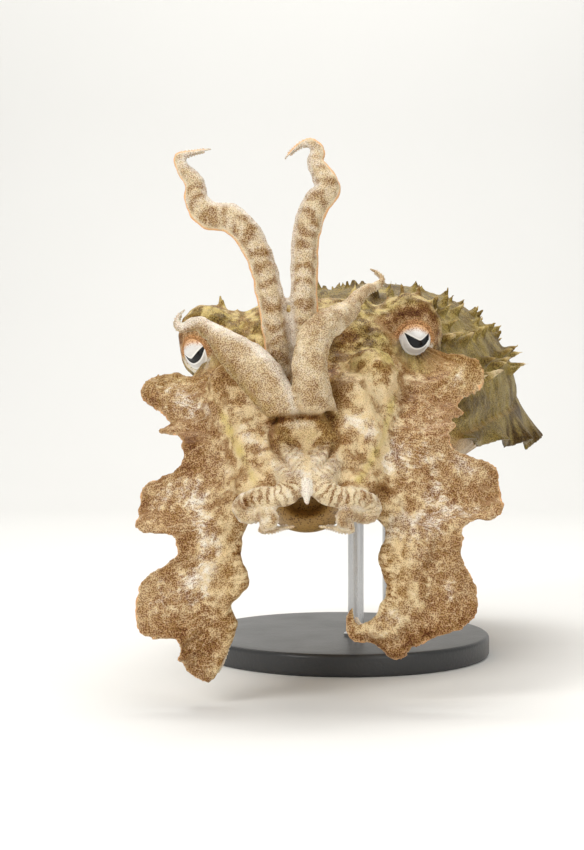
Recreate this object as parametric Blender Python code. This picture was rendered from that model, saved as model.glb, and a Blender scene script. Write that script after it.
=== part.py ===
"""Broadclub cuttlefish, life size, hovering head on with its arms spread, on a display stand.

Blender 4.5 script: one object for each named part of the animal and of its stand. Sizes are in
millimetres and MM turns them into Blender's metres. +Z is up, the animal faces -Y, and the origin
is the centre of the stand's foot. Left and right are the animal's own, so its left side is at +X.
"""

import math
import random

import bmesh
import bpy
import numpy as np

MM = 0.001
GAP = 0.35  # clearance that touching parts keep
SINK = 1.2  # how deep a papilla or sucker is rooted in the flesh
FRONT = np.array([0.0, -1.0, 0.0])
UP = np.array([0.0, 0.0, 1.0])

SKIN = ("skin", (0.62, 0.45, 0.30), 0.55, 0.0)
SKIN_PALE = ("arm_skin", (0.72, 0.58, 0.44), 0.50, 0.0)
FUNNEL_SKIN = ("funnel_skin", (0.50, 0.34, 0.14), 0.50, 0.0)
EYE_SILVER = ("eye_silver", (0.80, 0.78, 0.74), 0.20, 0.0)
STAND_PAINT = ("stand_paint", (0.20, 0.20, 0.21), 0.45, 0.0)
STAND_STEEL = ("stand_steel", (0.62, 0.62, 0.63), 0.30, 1.0)


# Curves through a few values

def through(knots, values, at):
    """A smooth cubic through the values at the knots."""
    knots = np.asarray(knots, float)
    values = np.asarray(values, float)
    at = np.clip(np.asarray(at, float), knots[0], knots[-1])
    slopes = np.gradient(values, knots, axis=0)
    i = np.clip(np.searchsorted(knots, at, side="right") - 1, 0, len(knots) - 2)
    h = knots[i + 1] - knots[i]
    u = (at - knots[i]) / h
    if values.ndim == 2:
        u, h = u[:, None], h[:, None]
    start = (2 * u**3 - 3 * u**2 + 1) * values[i] + (u**3 - 2 * u**2 + u) * h * slopes[i]
    return start + (3 * u**2 - 2 * u**3) * values[i + 1] + (u**3 - u**2) * h * slopes[i + 1]


def unit(vectors):
    """The vectors at length one."""
    return vectors / np.linalg.norm(vectors, axis=-1, keepdims=True)


def along(points, shares):
    """Points and tangents at shares of the length of the smooth curve through the given points."""
    points = np.array(points, float)
    chord = np.concatenate([[0], np.cumsum(np.linalg.norm(np.diff(points, axis=0), axis=1))])
    dense = through(chord, points, np.linspace(0, chord[-1], 500))
    run = np.concatenate([[0], np.cumsum(np.linalg.norm(np.diff(dense, axis=0), axis=1))])

    def at(share):
        return np.stack([np.interp(share * run[-1], run, dense[:, k]) for k in range(3)], axis=-1)

    shares = np.asarray(shares, float)
    step = 0.004
    tangents = at(np.minimum(shares + step, 1)) - at(np.maximum(shares - step, 0))
    return at(shares), unit(tangents), run[-1]


# Closed meshes, as (points in mm, triangles)

def outward(points, faces):
    """The same mesh with its faces turned to point out."""
    p = np.asarray(points, float)
    f = np.asarray(faces, int)
    volume = np.einsum("ij,ij->i", p[f[:, 0]], np.cross(p[f[:, 1]], p[f[:, 2]])).sum()
    return p, (f if volume > 0 else f[:, ::-1])


def tube(rings):
    """A closed mesh through rings of equal count, with a flat fan over each end."""
    rings = np.asarray(rings, float)
    n, k = rings.shape[:2]
    points = list(rings.reshape(-1, 3)) + [rings[0].mean(0), rings[-1].mean(0)]
    faces = []
    for i in range(n - 1):
        for j in range(k):
            a, b = i * k + j, i * k + (j + 1) % k
            faces += [(a, b, b + k), (a, b + k, a + k)]
    last = (n - 1) * k
    for j in range(k):
        faces.append((n * k, (j + 1) % k, j))
        faces.append((n * k + 1, last + j, last + (j + 1) % k))
    return outward(points, faces)


def sheet(front, back):
    """A closed mesh between a front and a back grid, split into triangles alike on both."""
    n, m = front.shape[:2]
    points = np.concatenate([front.reshape(-1, 3), back.reshape(-1, 3)])
    f = np.arange(n * m).reshape(n, m)
    b = f + n * m
    faces = []
    for i in range(n - 1):
        for j in range(m - 1):
            for side, order in ((f, (0, 1, 2, 3)), (b, (0, 3, 2, 1))):
                corner = (side[i, j], side[i, j + 1], side[i + 1, j + 1], side[i + 1, j])
                faces.append((corner[0], corner[order[1]], corner[2]))
                faces.append((corner[0], corner[2], corner[order[3]]))
        faces += wall((f[i, 0], f[i + 1, 0], b[i + 1, 0], b[i, 0]))
        faces += wall((b[i, -1], b[i + 1, -1], f[i + 1, -1], f[i, -1]))
    for j in range(m - 1):
        faces += wall((b[0, j], b[0, j + 1], f[0, j + 1], f[0, j]))
        faces += wall((f[-1, j], f[-1, j + 1], b[-1, j + 1], b[-1, j]))
    return outward(points, faces)


def wall(corners):
    """The two triangles of one strip between the front and the back edge."""
    return [(corners[0], corners[1], corners[2]), (corners[0], corners[2], corners[3])]


def spike(root, direction, length, radius, droop=0.0, sides=5):
    """A papilla: a bent cone whose root is sunk in the flesh that it stands on."""
    direction = unit(np.asarray(direction, float))
    side = unit(np.cross(direction, UP + 0.01))
    other = np.cross(direction, side)
    rings = []
    for rise, share in ((-SINK / length, 1.15), (0.4, 0.45), (0.97, 0.08)):
        height = rise * length
        middle = root + direction * height - UP * droop * length * max(rise, 0) ** 2
        turn = [2 * math.pi * j / sides for j in range(sides)]
        rings.append([middle + radius * share * (math.cos(t) * side + math.sin(t) * other) for t in turn])
    return tube(rings)


def ball(centre, radii, meridians=16, parallels=9):
    """An ellipsoid with a fan at each pole."""
    rings = []
    for i in range(1, parallels):
        lift = math.pi * i / parallels
        ring = []
        for j in range(meridians):
            turn = 2 * math.pi * j / meridians
            spot = (math.sin(lift) * math.cos(turn), math.sin(lift) * math.sin(turn), math.cos(lift))
            ring.append(np.array(centre) + np.array(radii) * spot)
        rings.append(ring)
    points, faces = tube(rings)
    points[-2] = np.array(centre) + np.array(radii) * UP
    points[-1] = np.array(centre) - np.array(radii) * UP
    return points, faces


# Blender objects

def plain_object(name, mesh_parts, material=None):
    """An object from a closed mesh, with its colour."""
    points, faces = mesh_parts
    mesh = bpy.data.meshes.new(name)
    mesh.from_pydata((np.asarray(points) * MM).tolist(), [], [tuple(int(v) for v in f) for f in faces])
    mesh.validate()
    obj = bpy.data.objects.new(name, mesh)
    bpy.context.scene.collection.objects.link(obj)
    if material:
        mesh.materials.append(paint(*material))
    return obj


def paint(name, colour, roughness, metallic):
    """The Principled material of one finish, made once."""
    found = bpy.data.materials.get(name)
    if found:
        return found
    material = bpy.data.materials.new(name)
    material.use_nodes = True
    shader = material.node_tree.nodes["Principled BSDF"]
    shader.inputs["Base Color"].default_value = (*colour, 1.0)
    shader.inputs["Roughness"].default_value = roughness
    shader.inputs["Metallic"].default_value = metallic
    return material


def keep_largest(obj):
    """Drops every loose scrap of a mesh but the one with the most faces."""
    mesh = bmesh.new()
    mesh.from_mesh(obj.data)
    mesh.faces.ensure_lookup_table()
    seen, groups = set(), []
    for start in mesh.faces:
        if start in seen:
            continue
        group, todo = [], [start]
        seen.add(start)
        while todo:
            face = todo.pop()
            group.append(face)
            for edge in face.edges:
                for near in edge.link_faces:
                    if near not in seen:
                        seen.add(near)
                        todo.append(near)
        groups.append(group)
    groups.sort(key=len, reverse=True)
    scraps = [face for group in groups[1:] for face in group]
    bmesh.ops.delete(mesh, geom=scraps, context="FACES")
    bmesh.ops.triangulate(mesh, faces=mesh.faces[:])
    mesh.to_mesh(obj.data)
    mesh.free()


def combine(obj, others, operation):
    """Applies one Boolean between an object and a collection of closed meshes."""
    tools = bpy.data.collections.new(obj.name + "_tools")
    bpy.context.scene.collection.children.link(tools)
    for other in others:
        bpy.context.scene.collection.objects.unlink(other)
        tools.objects.link(other)
    modifier = obj.modifiers.new("Boolean", "BOOLEAN")
    modifier.operation = operation
    modifier.operand_type = "COLLECTION"
    modifier.collection = tools
    modifier.solver = "MANIFOLD"
    graph = bpy.context.evaluated_depsgraph_get()
    result = bpy.data.meshes.new_from_object(obj.evaluated_get(graph))
    obj.modifiers.clear()
    obj.data = result
    for other in list(tools.objects):
        bpy.data.objects.remove(other)
    bpy.data.collections.remove(tools)


def fused(name, pieces, material, cutters=()):
    """One closed body from overlapping closed meshes, less the cutters."""
    obj = plain_object(name, pieces[0], material)
    if len(pieces) > 1:
        combine(obj, [plain_object(f"{name}_piece", piece) for piece in pieces[1:]], "UNION")
    if cutters:
        combine(obj, [plain_object(f"{name}_cutter", cutter) for cutter in cutters], "DIFFERENCE")
    keep_largest(obj)
    obj.data.shade_smooth()
    obj.data.set_sharp_from_angle(angle=math.radians(50))
    return obj


# Mantle: the broad, flattened body behind the head, turned and raised a little to the rear

MANTLE_FRONT = np.array([-9.0, -53.5, 87.0])
MANTLE_LENGTH = 196.0
MANTLE_AXIS = unit(np.array([56.0, 192.0, 22.0]))
ROLL = math.radians(3.0)
LEVEL_SIDE = unit(np.cross(MANTLE_AXIS, UP))
LEVEL_BACK = np.cross(LEVEL_SIDE, MANTLE_AXIS)
MANTLE_SIDE = LEVEL_SIDE * math.cos(ROLL) + LEVEL_BACK * math.sin(ROLL)
MANTLE_BACK = np.cross(MANTLE_SIDE, MANTLE_AXIS)
LEVEL_ROLLED = np.array([math.cos(ROLL), 0.0, math.sin(ROLL)])
MANTLE_POINTS = 28
# Share of the length: half width, height over the axis and depth under it
MANTLE_SECTIONS = [
    (0.000, 42.0, 42.0, 25.5),
    (0.025, 44.5, 44.5, 27.5),
    (0.250, 51.5, 48.0, 28.5),
    (0.450, 54.0, 48.5, 27.5),
    (0.650, 49.5, 43.5, 24.0),
    (0.800, 39.0, 34.0, 18.5),
    (0.920, 23.0, 20.5, 11.0),
    (0.985, 8.5, 8.0, 5.0),
    (1.000, 2.5, 2.5, 2.0),
]
MANTLE_STATIONS = [0.0, 0.012, 0.04, 0.1, 0.17, 0.24, 0.31, 0.38, 0.45, 0.52, 0.59,
                   0.66, 0.73, 0.8, 0.86, 0.91, 0.95, 0.98, 1.0]


def mantle_spot(share, turn):
    """A point of the mantle's skin, at an angle from the midline of the back, positive to its left."""
    knots = [s[0] for s in MANTLE_SECTIONS]
    wide, high, deep = (through(knots, [s[c] for s in MANTLE_SECTIONS], [share])[0] for c in (1, 2, 3))
    centre = MANTLE_FRONT + MANTLE_AXIS * MANTLE_LENGTH * share
    rise = math.cos(turn)
    return centre + MANTLE_SIDE * wide * math.sin(turn) + MANTLE_BACK * rise * (high if rise > 0 else deep)


def mantle_normal(share, turn):
    """The outward direction of the mantle's skin there."""
    step = 0.02
    ahead = mantle_spot(min(share + step, 1), turn) - mantle_spot(max(share - step, 0), turn)
    round_it = mantle_spot(share, turn + step) - mantle_spot(share, turn - step)
    return unit(np.cross(round_it, ahead))


# Rows of papillae on each side: angle from the midline, first and last share, count, length, radius
PAPILLA_ROWS = [
    (0.16, 0.12, 0.84, 5, 5.0, 2.2),
    (0.52, 0.06, 0.84, 6, 6.5, 2.6),
    (0.88, 0.09, 0.84, 6, 7.5, 2.8),
    (1.24, 0.05, 0.90, 10, 10.0, 3.2),
]
# Where the stand's rods enter the belly, as shares of the mantle's length, and the hole's radius
ROD_SHARES = (0.2, 0.5)
ROD_RADIUS = 3.0
ROD_DEPTH = 7.0
HOLE_CLEAR = 6.0
ROD_END_GAP = 0.85


def mantle_papillae(draw):
    """Pointed skin flaps in rows along the back, longest on the flanks, leaning to the rear."""
    spikes = []
    for turn, first, last, count, length, radius in PAPILLA_ROWS:
        for side in (-1, 1):
            for i in range(count):
                share = first + (last - first) * (i + 0.5 * (side > 0)) / (count - 0.5)
                share += draw.uniform(-0.012, 0.012)
                angle = side * (turn + draw.uniform(-0.07, 0.07))
                size = length * draw.uniform(0.75, 1.2) * (1.1 - 0.45 * share)
                root = mantle_spot(share, angle)
                lean = mantle_normal(share, angle) + MANTLE_AXIS * draw.uniform(-0.1, 0.45)
                spikes.append(spike(root, lean, size, radius * (1.05 - 0.35 * share), draw.uniform(0, 0.25)))
    return spikes


def make_mantle():
    rings = []
    for share in MANTLE_STATIONS:
        turns = [2 * math.pi * (j + 0.5) / MANTLE_POINTS for j in range(MANTLE_POINTS)]
        rings.append([mantle_spot(share, t) for t in turns])
    holes = []
    for share in ROD_SHARES:
        belly = mantle_spot(share, math.pi)
        holes.append(post(belly, belly[2] - HOLE_CLEAR, belly[2] + ROD_DEPTH, ROD_RADIUS + GAP))
    fused("mantle", [tube(rings)] + mantle_papillae(random.Random(7)), SKIN, holes)


def post(place, bottom, top, radius, sides=16):
    """An upright round bar."""
    rings = []
    turns = [2 * math.pi * j / sides for j in range(sides)]
    circle = [(place[0] + radius * math.cos(t), place[1] + radius * math.sin(t)) for t in turns]
    for height in (bottom, top):
        rings.append([(x, y, height) for x, y in circle])
    return tube(rings)


# Fins: a thin undulating frill along each flank, tucked down a little

FIN_WIDTH = 17.0
FIN_ROOT_HALF = 1.3
FIN_EDGE_HALF = 0.5
FIN_STANDOFF = GAP + FIN_ROOT_HALF
FIN_WAVES = 5.0
FIN_SWING = 3.2
FIN_TUCK = math.radians(60.0)
FIN_ROOT_TURN = 2 * math.pi * (7.5 + 0.5) / MANTLE_POINTS
FIN_FIRST, FIN_LAST = 0.06, 0.965
FIN_STATIONS = 25
FIN_COLUMNS = 4


def fin_grid(side, stations, columns):
    """Front and back grids of one fin, from its root by the mantle out to its edge."""
    upper, lower = [], []
    for share in np.linspace(FIN_FIRST, FIN_LAST, stations):
        root = mantle_spot(share, side * FIN_ROOT_TURN)
        away = mantle_normal(share, side * FIN_ROOT_TURN)
        reach = (share - FIN_FIRST) / (FIN_LAST - FIN_FIRST)
        width = FIN_WIDTH * math.sin(math.pi * min(1.0, 0.06 + reach * 1.2) / 2 if reach < 0.5 else
                                     math.pi / 2 * min(1.0, 0.25 + (1 - reach) * 3.2))
        flat = unit(away * math.cos(FIN_TUCK) - MANTLE_BACK * math.sin(FIN_TUCK))
        across = unit(np.cross(MANTLE_AXIS, flat))
        across = across if across @ MANTLE_BACK > 0 else -across
        over, under = [], []
        for q in np.linspace(0, 1, columns):
            wave = FIN_SWING * q**1.5 * math.sin(2 * math.pi * (FIN_WAVES * reach + 0.2 * side))
            middle = root + away * FIN_STANDOFF + flat * width * q + across * wave
            half = FIN_ROOT_HALF + (FIN_EDGE_HALF - FIN_ROOT_HALF) * q
            over.append(middle + across * half)
            under.append(middle - across * half)
        upper.append(over)
        lower.append(under)
    return np.array(upper), np.array(lower)


def make_fins():
    for name, side in (("fin_right", -1), ("fin_left", 1)):
        fused(name, [sheet(*fin_grid(side, FIN_STATIONS, FIN_COLUMNS))], SKIN)


# Head: a broad wedge from the neck to the crown of arms, with the eyes bulging at its sides

HEAD_CUT = -97.0
# Y of the section: centre X, half width, top, bottom, and how far it is turned with the mantle
HEAD_SECTIONS = [
    (-60.0, -12.0, 34.5, 129.0, 84.0, 0.85),
    (-70.0, -13.0, 36.5, 130.5, 82.0, 0.5),
    (-80.0, -13.5, 38.0, 131.0, 79.0, 0.15),
    (-88.0, -14.0, 37.0, 128.5, 76.0, 0.0),
    (-97.0, -14.5, 33.5, 122.5, 73.0, 0.0),
    (-103.0, -15.0, 30.5, 114.5, 73.0, 0.0),
    (-109.0, -15.2, 28.0, 106.0, 76.0, 0.0),
    (-115.0, -15.4, 23.0, 99.0, 78.5, 0.0),
    (-120.0, -15.4, 17.0, 95.0, 81.0, 0.0),
    (-123.0, -15.4, 12.0, 92.5, 82.5, 0.0),
    (-124.5, -15.4, 7.0, 91.0, 84.0, 0.0),
]
NECK_HALF_WIDTH = 33.0
NECK_HALF_HEIGHT = 22.0
NECK_RISE = 19.5
HEAD_POINTS = 28
# Eyeball centre, gaze, and the half size of the bulge of skin round it
EYES = {
    "right": (np.array([-46.3, -80.0, 114.0]), np.array([-0.70, -0.71, -0.03])),
    "left": (np.array([19.3, -80.0, 117.5]), np.array([0.34, -0.94, -0.02])),
}
EYE_RADIUS = 9.3
EYE_BULGE = np.array([11.8, 12.0, 13.6])
EYE_BULGE_SHIFT = np.array([0.0, 1.0, 1.4])
LID_OPENING = (6.5, 6.2)
LID_DROP = 0.6
LID_CUT = ((2.0, 0.9), (20.0, 1.5))
BROW_PAPILLAE = [
    ((-51.0, -80.0, 124.0), (-0.5, -0.3, 1.0), 6.0, 1.7),
    ((-44.0, -77.0, 127.0), (-0.1, 0.2, 1.0), 8.0, 2.0),
    ((-38.5, -79.0, 126.5), (0.0, -0.2, 1.0), 6.0, 1.6),
    ((1.5, -76.0, 131.0), (0.0, 0.1, 1.0), 8.5, 2.0),
    ((12.5, -79.0, 130.0), (-0.1, 0.0, 1.0), 5.5, 1.7),
    ((17.5, -77.0, 130.5), (0.0, 0.2, 1.0), 9.5, 2.2),
    ((22.5, -78.5, 129.5), (0.15, 0.1, 1.0), 9.0, 2.0),
    ((26.0, -80.0, 127.5), (0.5, 0.0, 1.0), 7.0, 2.2),
]


def head_ring(depth):
    """A section of the head or crown, a rounded square that turns from the mantle's face to the front."""
    knots = [-s[0] for s in HEAD_SECTIONS]
    values = [through(knots, [s[c] for s in HEAD_SECTIONS], [-depth])[0] for c in (1, 2, 3, 4, 5)]
    middle_x, wide, top, bottom, turned = values
    side = unit(MANTLE_SIDE * turned + LEVEL_ROLLED * (1 - turned))
    back = unit(MANTLE_BACK * turned + UP * (1 - turned))
    centre = np.array([middle_x, depth, (top + bottom) / 2])
    ring = []
    for j in range(HEAD_POINTS):
        turn = 2 * math.pi * j / HEAD_POINTS
        c, s = math.cos(turn), math.sin(turn)
        x = math.copysign(abs(c) ** 0.85, c) * wide
        z = math.copysign(abs(s) ** 0.9, s) * (top - bottom) / 2
        ring.append(centre + side * x + back * z)
    return ring


def neck_ring():
    """The last section of the head, parallel to the mantle's front face."""
    centre = MANTLE_FRONT + MANTLE_BACK * NECK_RISE - MANTLE_AXIS * GAP
    ring = []
    for j in range(HEAD_POINTS):
        turn = 2 * math.pi * j / HEAD_POINTS
        ring.append(centre + MANTLE_SIDE * NECK_HALF_WIDTH * math.cos(turn)
                    + MANTLE_BACK * NECK_HALF_HEIGHT * math.sin(turn))
    return ring


def lid_cutter(centre, gaze):
    """An oval bar along the gaze, which opens the lids over the eyeball."""
    gaze = unit(gaze)
    side = unit(np.cross(gaze, UP))
    high = np.cross(side, gaze)
    turns = [2 * math.pi * j / 16 for j in range(16)]
    wide, tall = LID_OPENING
    oval = [side * wide * math.cos(t) + high * (tall * math.sin(t) - LID_DROP) for t in turns]
    return tube([[centre + gaze * reach + grow * spot for spot in oval] for reach, grow in LID_CUT])


HEAD_DEPTHS = (-63, -69, -75, -81, -87, -92, HEAD_CUT)


def make_head():
    rings = [neck_ring()] + [head_ring(y) for y in HEAD_DEPTHS]
    pieces = [tube(rings)]
    cutters = []
    for centre, gaze in EYES.values():
        pieces.append(ball(centre + EYE_BULGE_SHIFT, EYE_BULGE))
        cutters.append(ball(centre, [EYE_RADIUS + GAP] * 3))
        cutters.append(lid_cutter(centre, gaze))
    pieces += [spike(np.array(root), lean, length, radius) for root, lean, length, radius in BROW_PAPILLAE]
    fused("head", pieces, SKIN, cutters)
    for side, (centre, _) in EYES.items():
        fused(f"eye_{side}", [ball(centre, [EYE_RADIUS] * 3)], EYE_SILVER)


# Funnel: the soft siphon under the head, whose rear meets the mantle's front face

FUNNEL_DROP = 14.5
FUNNEL_REAR = (17.5, 9.0)
# Centre, half width and half height of each section on the way to the mouth
FUNNEL_SECTIONS = [
    ((-13.5, -72.0, 66.5), 17.0, 11.0),
    ((-14.5, -82.0, 63.0), 15.0, 10.5),
    ((-15.3, -90.0, 62.0), 13.0, 9.8),
    ((-15.5, -96.0, 62.5), 10.5, 8.0),
    ((-15.5, -98.0, 63.0), 8.5, 6.2),
    ((-15.5, -96.5, 63.0), 6.8, 4.6),
    ((-15.4, -90.0, 63.0), 5.4, 3.6),
]


def make_funnel():
    rings = []
    rear = MANTLE_FRONT - MANTLE_BACK * FUNNEL_DROP - MANTLE_AXIS * GAP
    turns = [2 * math.pi * j / 18 for j in range(18)]
    wide, high = MANTLE_SIDE * FUNNEL_REAR[0], MANTLE_BACK * FUNNEL_REAR[1]
    rings.append([rear + wide * math.cos(t) + high * math.sin(t) for t in turns])
    for centre, wide, high in FUNNEL_SECTIONS:
        rings.append([np.array(centre) + (wide * math.cos(t), 0, high * math.sin(t)) for t in turns])
    fused("funnel", [tube(rings)], FUNNEL_SKIN)


# Arms: each is a flattened band between an inner and an outer edge, thick along its core

EDGE_HALF = 0.5
EDGE_SHARE = 0.6
RUFFLE_ROOT = 0.35
RUFFLE_POWER = 1.4
SLIM_COLUMNS = (0.1, 0.34, 0.66, 0.9)
BROAD_COLUMNS = (0.05, 0.17, 0.34, 0.5, 0.66, 0.83)
# Suckers: how far they shrink to the tip, how far apart the two rows stand, and their height
SUCKER_SHRINK = 0.68
SUCKER_SPREAD = 1.15
SUCKER_HEIGHT = 0.8
SUCKER_DISH = 0.45


class Arm:
    """One arm: its edges, its core, its lobes, and where it is divided."""

    def __init__(self, edges, run, core, thick, cuts, suckers):
        self.edges = edges
        self.run = run
        self.core = core
        self.thick = thick
        self.cuts = cuts
        self.suckers = suckers
        self.lobes = ()
        self.ruffle = (0.0, 0.0, 0.0)
        self.columns = (0.0,) + SLIM_COLUMNS + (1.0,)

    def sections(self, shares):
        """The front and back grids of the arm at shares of its length."""
        shares = np.asarray(shares, float)
        inner, outer, front = self.edges(shares)
        across = outer - inner
        width = np.linalg.norm(across, axis=1)
        across = across / width[:, None]
        for place, reach, breadth, squareness in self.lobes:
            swell = reach * np.exp(-np.abs((shares - place) / breadth) ** squareness)
            outer = outer + across * swell[:, None]
            width = width + swell
        middle, half = (through([s[0] for s in self.core], [s[c] for s in self.core], shares) for c in (1, 2))
        thick = through([s[0] for s in self.thick], [s[1] for s in self.thick], shares)
        edge = np.minimum(EDGE_HALF, EDGE_SHARE * thick)
        size, waves, phase = self.ruffle
        grids = ([], [])
        for q in self.columns:
            at = q * width
            hump = np.sqrt(np.clip(1 - ((at - middle) / half) ** 2, 0, 1))
            rise = edge + (thick - edge) * hump
            swing = max(0.0, q - RUFFLE_ROOT) ** RUFFLE_POWER
            wave = size * swing * np.sin(2 * np.pi * (waves * shares + phase))
            spot = inner + across * at[:, None] + front * wave[:, None]
            grids[0].append(spot + front * rise[:, None])
            grids[1].append(spot - front * rise[:, None])
        return np.stack(grids[0], axis=1), np.stack(grids[1], axis=1)

    def length_of(self, first, last, step):
        """A closed mesh of one length of the arm, with about the given step between its sections."""
        count = max(3, int(round((last - first) * self.run / step)) + 1)
        return sheet(*self.sections(np.linspace(first, last, count)))

    def sucker_row(self, first, last, count, radius):
        """Two rows of suckers down the face that is turned from the viewer, smaller to the tip."""
        cups = []
        for i in range(count):
            share = first + (last - first) * (i + 0.5) / count
            front, back = self.sections([share - 0.01, share + 0.01])
            middle = through([s[0] for s in self.core], [s[1] for s in self.core], [share])[0]
            width = np.linalg.norm(back[0, -1] - back[0, 0])
            size = radius * (1 - SUCKER_SHRINK * share)
            offset = (1 if i % 2 else -1) * size * SUCKER_SPREAD
            q = np.clip((middle + offset) / width, 0.05, 0.95)
            spot = np.array([np.interp(q, self.columns, back[0, :, k]) for k in range(3)])
            facing = unit(np.cross(back[1, 0] - back[0, 0], back[0, -1] - back[0, 0]))
            facing = facing if facing @ (back[0, 2] - front[0, 2]) > 0 else -facing
            cups.append(cup(spot, facing, size))
        return cups


def cup(spot, facing, radius, sides=5):
    """A sucker: a short stalk that widens to a rim round a shallow dish."""
    side = unit(np.cross(facing, FRONT + UP * 0.5))
    other = np.cross(facing, side)
    rings = []
    for rise, share in ((-1.0, 0.6), (0.9, 1.0)):
        middle = spot + facing * rise * radius * SUCKER_HEIGHT
        turn = [2 * math.pi * j / sides for j in range(sides)]
        rings.append([middle + radius * share * (math.cos(t) * side + math.sin(t) * other) for t in turn])
    points, faces = tube(rings)
    points[-1] = points[-1] - facing * radius * SUCKER_DISH
    return points, faces


def round_arm(path, widths, turn):
    """The edges of an arm from its centre line and its inner and outer half widths, and its length."""
    knots = [w[0] for w in widths]

    def edges(shares):
        centre, tangent, _ = along(path, shares)
        across = unit(np.cross(tangent, FRONT)) * turn
        front = unit(np.cross(across, tangent) * turn)
        front = np.where((front @ FRONT)[:, None] < 0, -front, front)
        inner, outer = (through(knots, [w[c] for w in widths], shares) for c in (1, 2))
        return centre - across * inner[:, None], centre + across * outer[:, None], front
    return edges, along(path, [0.0])[2]


def broad_arm(pairs):
    """The edges of a broad arm from pairs of points on its inner and its outer edge."""
    inner = np.array([p[0] for p in pairs], float)
    outer = np.array([p[1] for p in pairs], float)
    lengths = [np.linalg.norm(np.diff(line, axis=0), axis=1) for line in (inner, outer)]
    knots = np.concatenate([[0], np.cumsum((lengths[0] + lengths[1]) / 2)])

    def edges(shares):
        at = np.asarray(shares) * knots[-1]
        a, b = through(knots, inner, at), through(knots, outer, at)
        middle = (inner + outer) / 2
        ahead = through(knots, middle, np.minimum(at + 1, knots[-1]))
        behind = through(knots, middle, np.maximum(at - 1, 0))
        front = unit(np.cross(b - a, ahead - behind))
        front = np.where((front @ FRONT)[:, None] < 0, -front, front)
        return a, b, front
    return edges, knots[-1]


KEEL = 0.75
CORE_LEAST = 0.3


def core_of(widths):
    """A core in the middle of a round arm, with a thin keel left on each side of it."""
    core = []
    for share, inner, outer in widths:
        half = (inner + outer) / 2
        core.append((share, half, max(CORE_LEAST, half - KEEL * min(1, half / 3))))
    return core


ARM_1_RIGHT = [
    (-19.5, -106, 94.5), (-23, -113, 105), (-25.4, -116, 120.5), (-28.6, -116, 136.5),
    (-33.5, -115, 148), (-39.5, -114, 154), (-46.5, -113, 155), (-50.5, -112, 159.5),
    (-51, -110, 165.5), (-54.5, -108, 170), (-56.5, -107, 174.5), (-52.5, -107, 175.8), (-46, -108, 177),
]
ARM_1_LEFT = [
    (-12.0, -106, 94.5), (-13.6, -113, 105.5), (-15.9, -116, 121), (-16.2, -116, 138.5),
    (-15.2, -115, 151), (-12.4, -114, 158.5), (-8.6, -113, 163.5), (-10.8, -111, 168.6),
    (-12.6, -109, 172.5), (-12, -107, 177), (-14.5, -107, 179.3), (-18.4, -107, 177.7), (-22.4, -108, 173.7),
]
# Share of an arm's length: its inner and its outer half width
ARM_1_WIDTHS = [
    (0, 4.2, 4.4), (0.3, 4.2, 4.5), (0.5, 4.3, 4.6), (0.62, 4.4, 4.8), (0.72, 4.0, 4.2),
    (0.8, 3.0, 3.2), (0.87, 2.2, 2.4), (0.92, 1.3, 1.4), (0.96, 0.8, 0.8), (1, 0.4, 0.4),
]
ARM_1_THICK = [(0, 4.2), (0.5, 4.0), (0.7, 3.2), (0.85, 1.9), (0.93, 1.0), (1, 0.4)]

ARM_2_RIGHT = [
    (-22.5, -116, 93), (-27, -122, 99.5), (-34.5, -121, 107.5), (-42, -116, 113.5), (-48.5, -111, 118),
    (-53, -108, 119.5), (-55.5, -106, 121.5), (-56, -105, 124), (-54.5, -104, 126),
]
ARM_2_RIGHT_WIDTHS = [
    (0, 7.4, 6.6), (0.25, 7.8, 6.8), (0.5, 6.4, 5.6), (0.68, 4.2, 3.8), (0.8, 2.5, 2.4),
    (0.9, 1.4, 1.4), (1, 0.4, 0.4),
]
ARM_2_LEFT = [
    (-12, -118, 93), (-14, -126, 100.5), (-14.5, -128.5, 110.5), (-12, -127, 117), (-7, -123, 121),
    (-2.5, -118, 124), (0.5, -113, 128), (4, -109, 131.5), (8, -105, 133.5),
    (9.6, -103, 135.6), (8, -102, 137.4), (5.5, -101, 139),
]
ARM_2_LEFT_WIDTHS = [
    (0, 5.4, 6.6), (0.25, 5.2, 6.0), (0.48, 4.6, 4.8), (0.62, 3.3, 3.4), (0.76, 2.0, 2.0),
    (0.88, 1.3, 1.3), (1, 0.4, 0.4),
]
ARM_2_THICK = [(0, 4.0), (0.3, 3.6), (0.6, 2.6), (0.8, 1.6), (0.92, 0.9), (1, 0.4)]

MIDLINE = -15.4
# The left arm of the third pair from the midline; the right one mirrors it
ARM_3 = [
    (7.6, -118, 88.5), (7.4, -126, 83), (5.8, -131, 78), (5.1, -134, 72.5), (8.0, -136, 68.2),
    (13.0, -136, 66), (18, -134, 63.4), (20.4, -131.5, 60.4), (18.3, -129.5, 57.4), (13.6, -128.7, 56.1),
    (8.4, -129, 56.4), (3.4, -130, 57.2),
]
ARM_3_WIDTHS = [
    (0, 2.8, 3.0), (0.12, 3.0, 3.2), (0.22, 4.4, 4.2), (0.32, 4.7, 4.6), (0.42, 4.2, 4.2),
    (0.55, 3.3, 3.2), (0.66, 2.1, 2.2), (0.76, 1.5, 1.5), (0.88, 1.0, 1.0), (1, 0.4, 0.4),
]
ARM_3_THICK = [(0, 4.2), (0.3, 3.8), (0.5, 2.8), (0.65, 1.9), (0.85, 1.1), (1, 0.4)]

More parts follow.
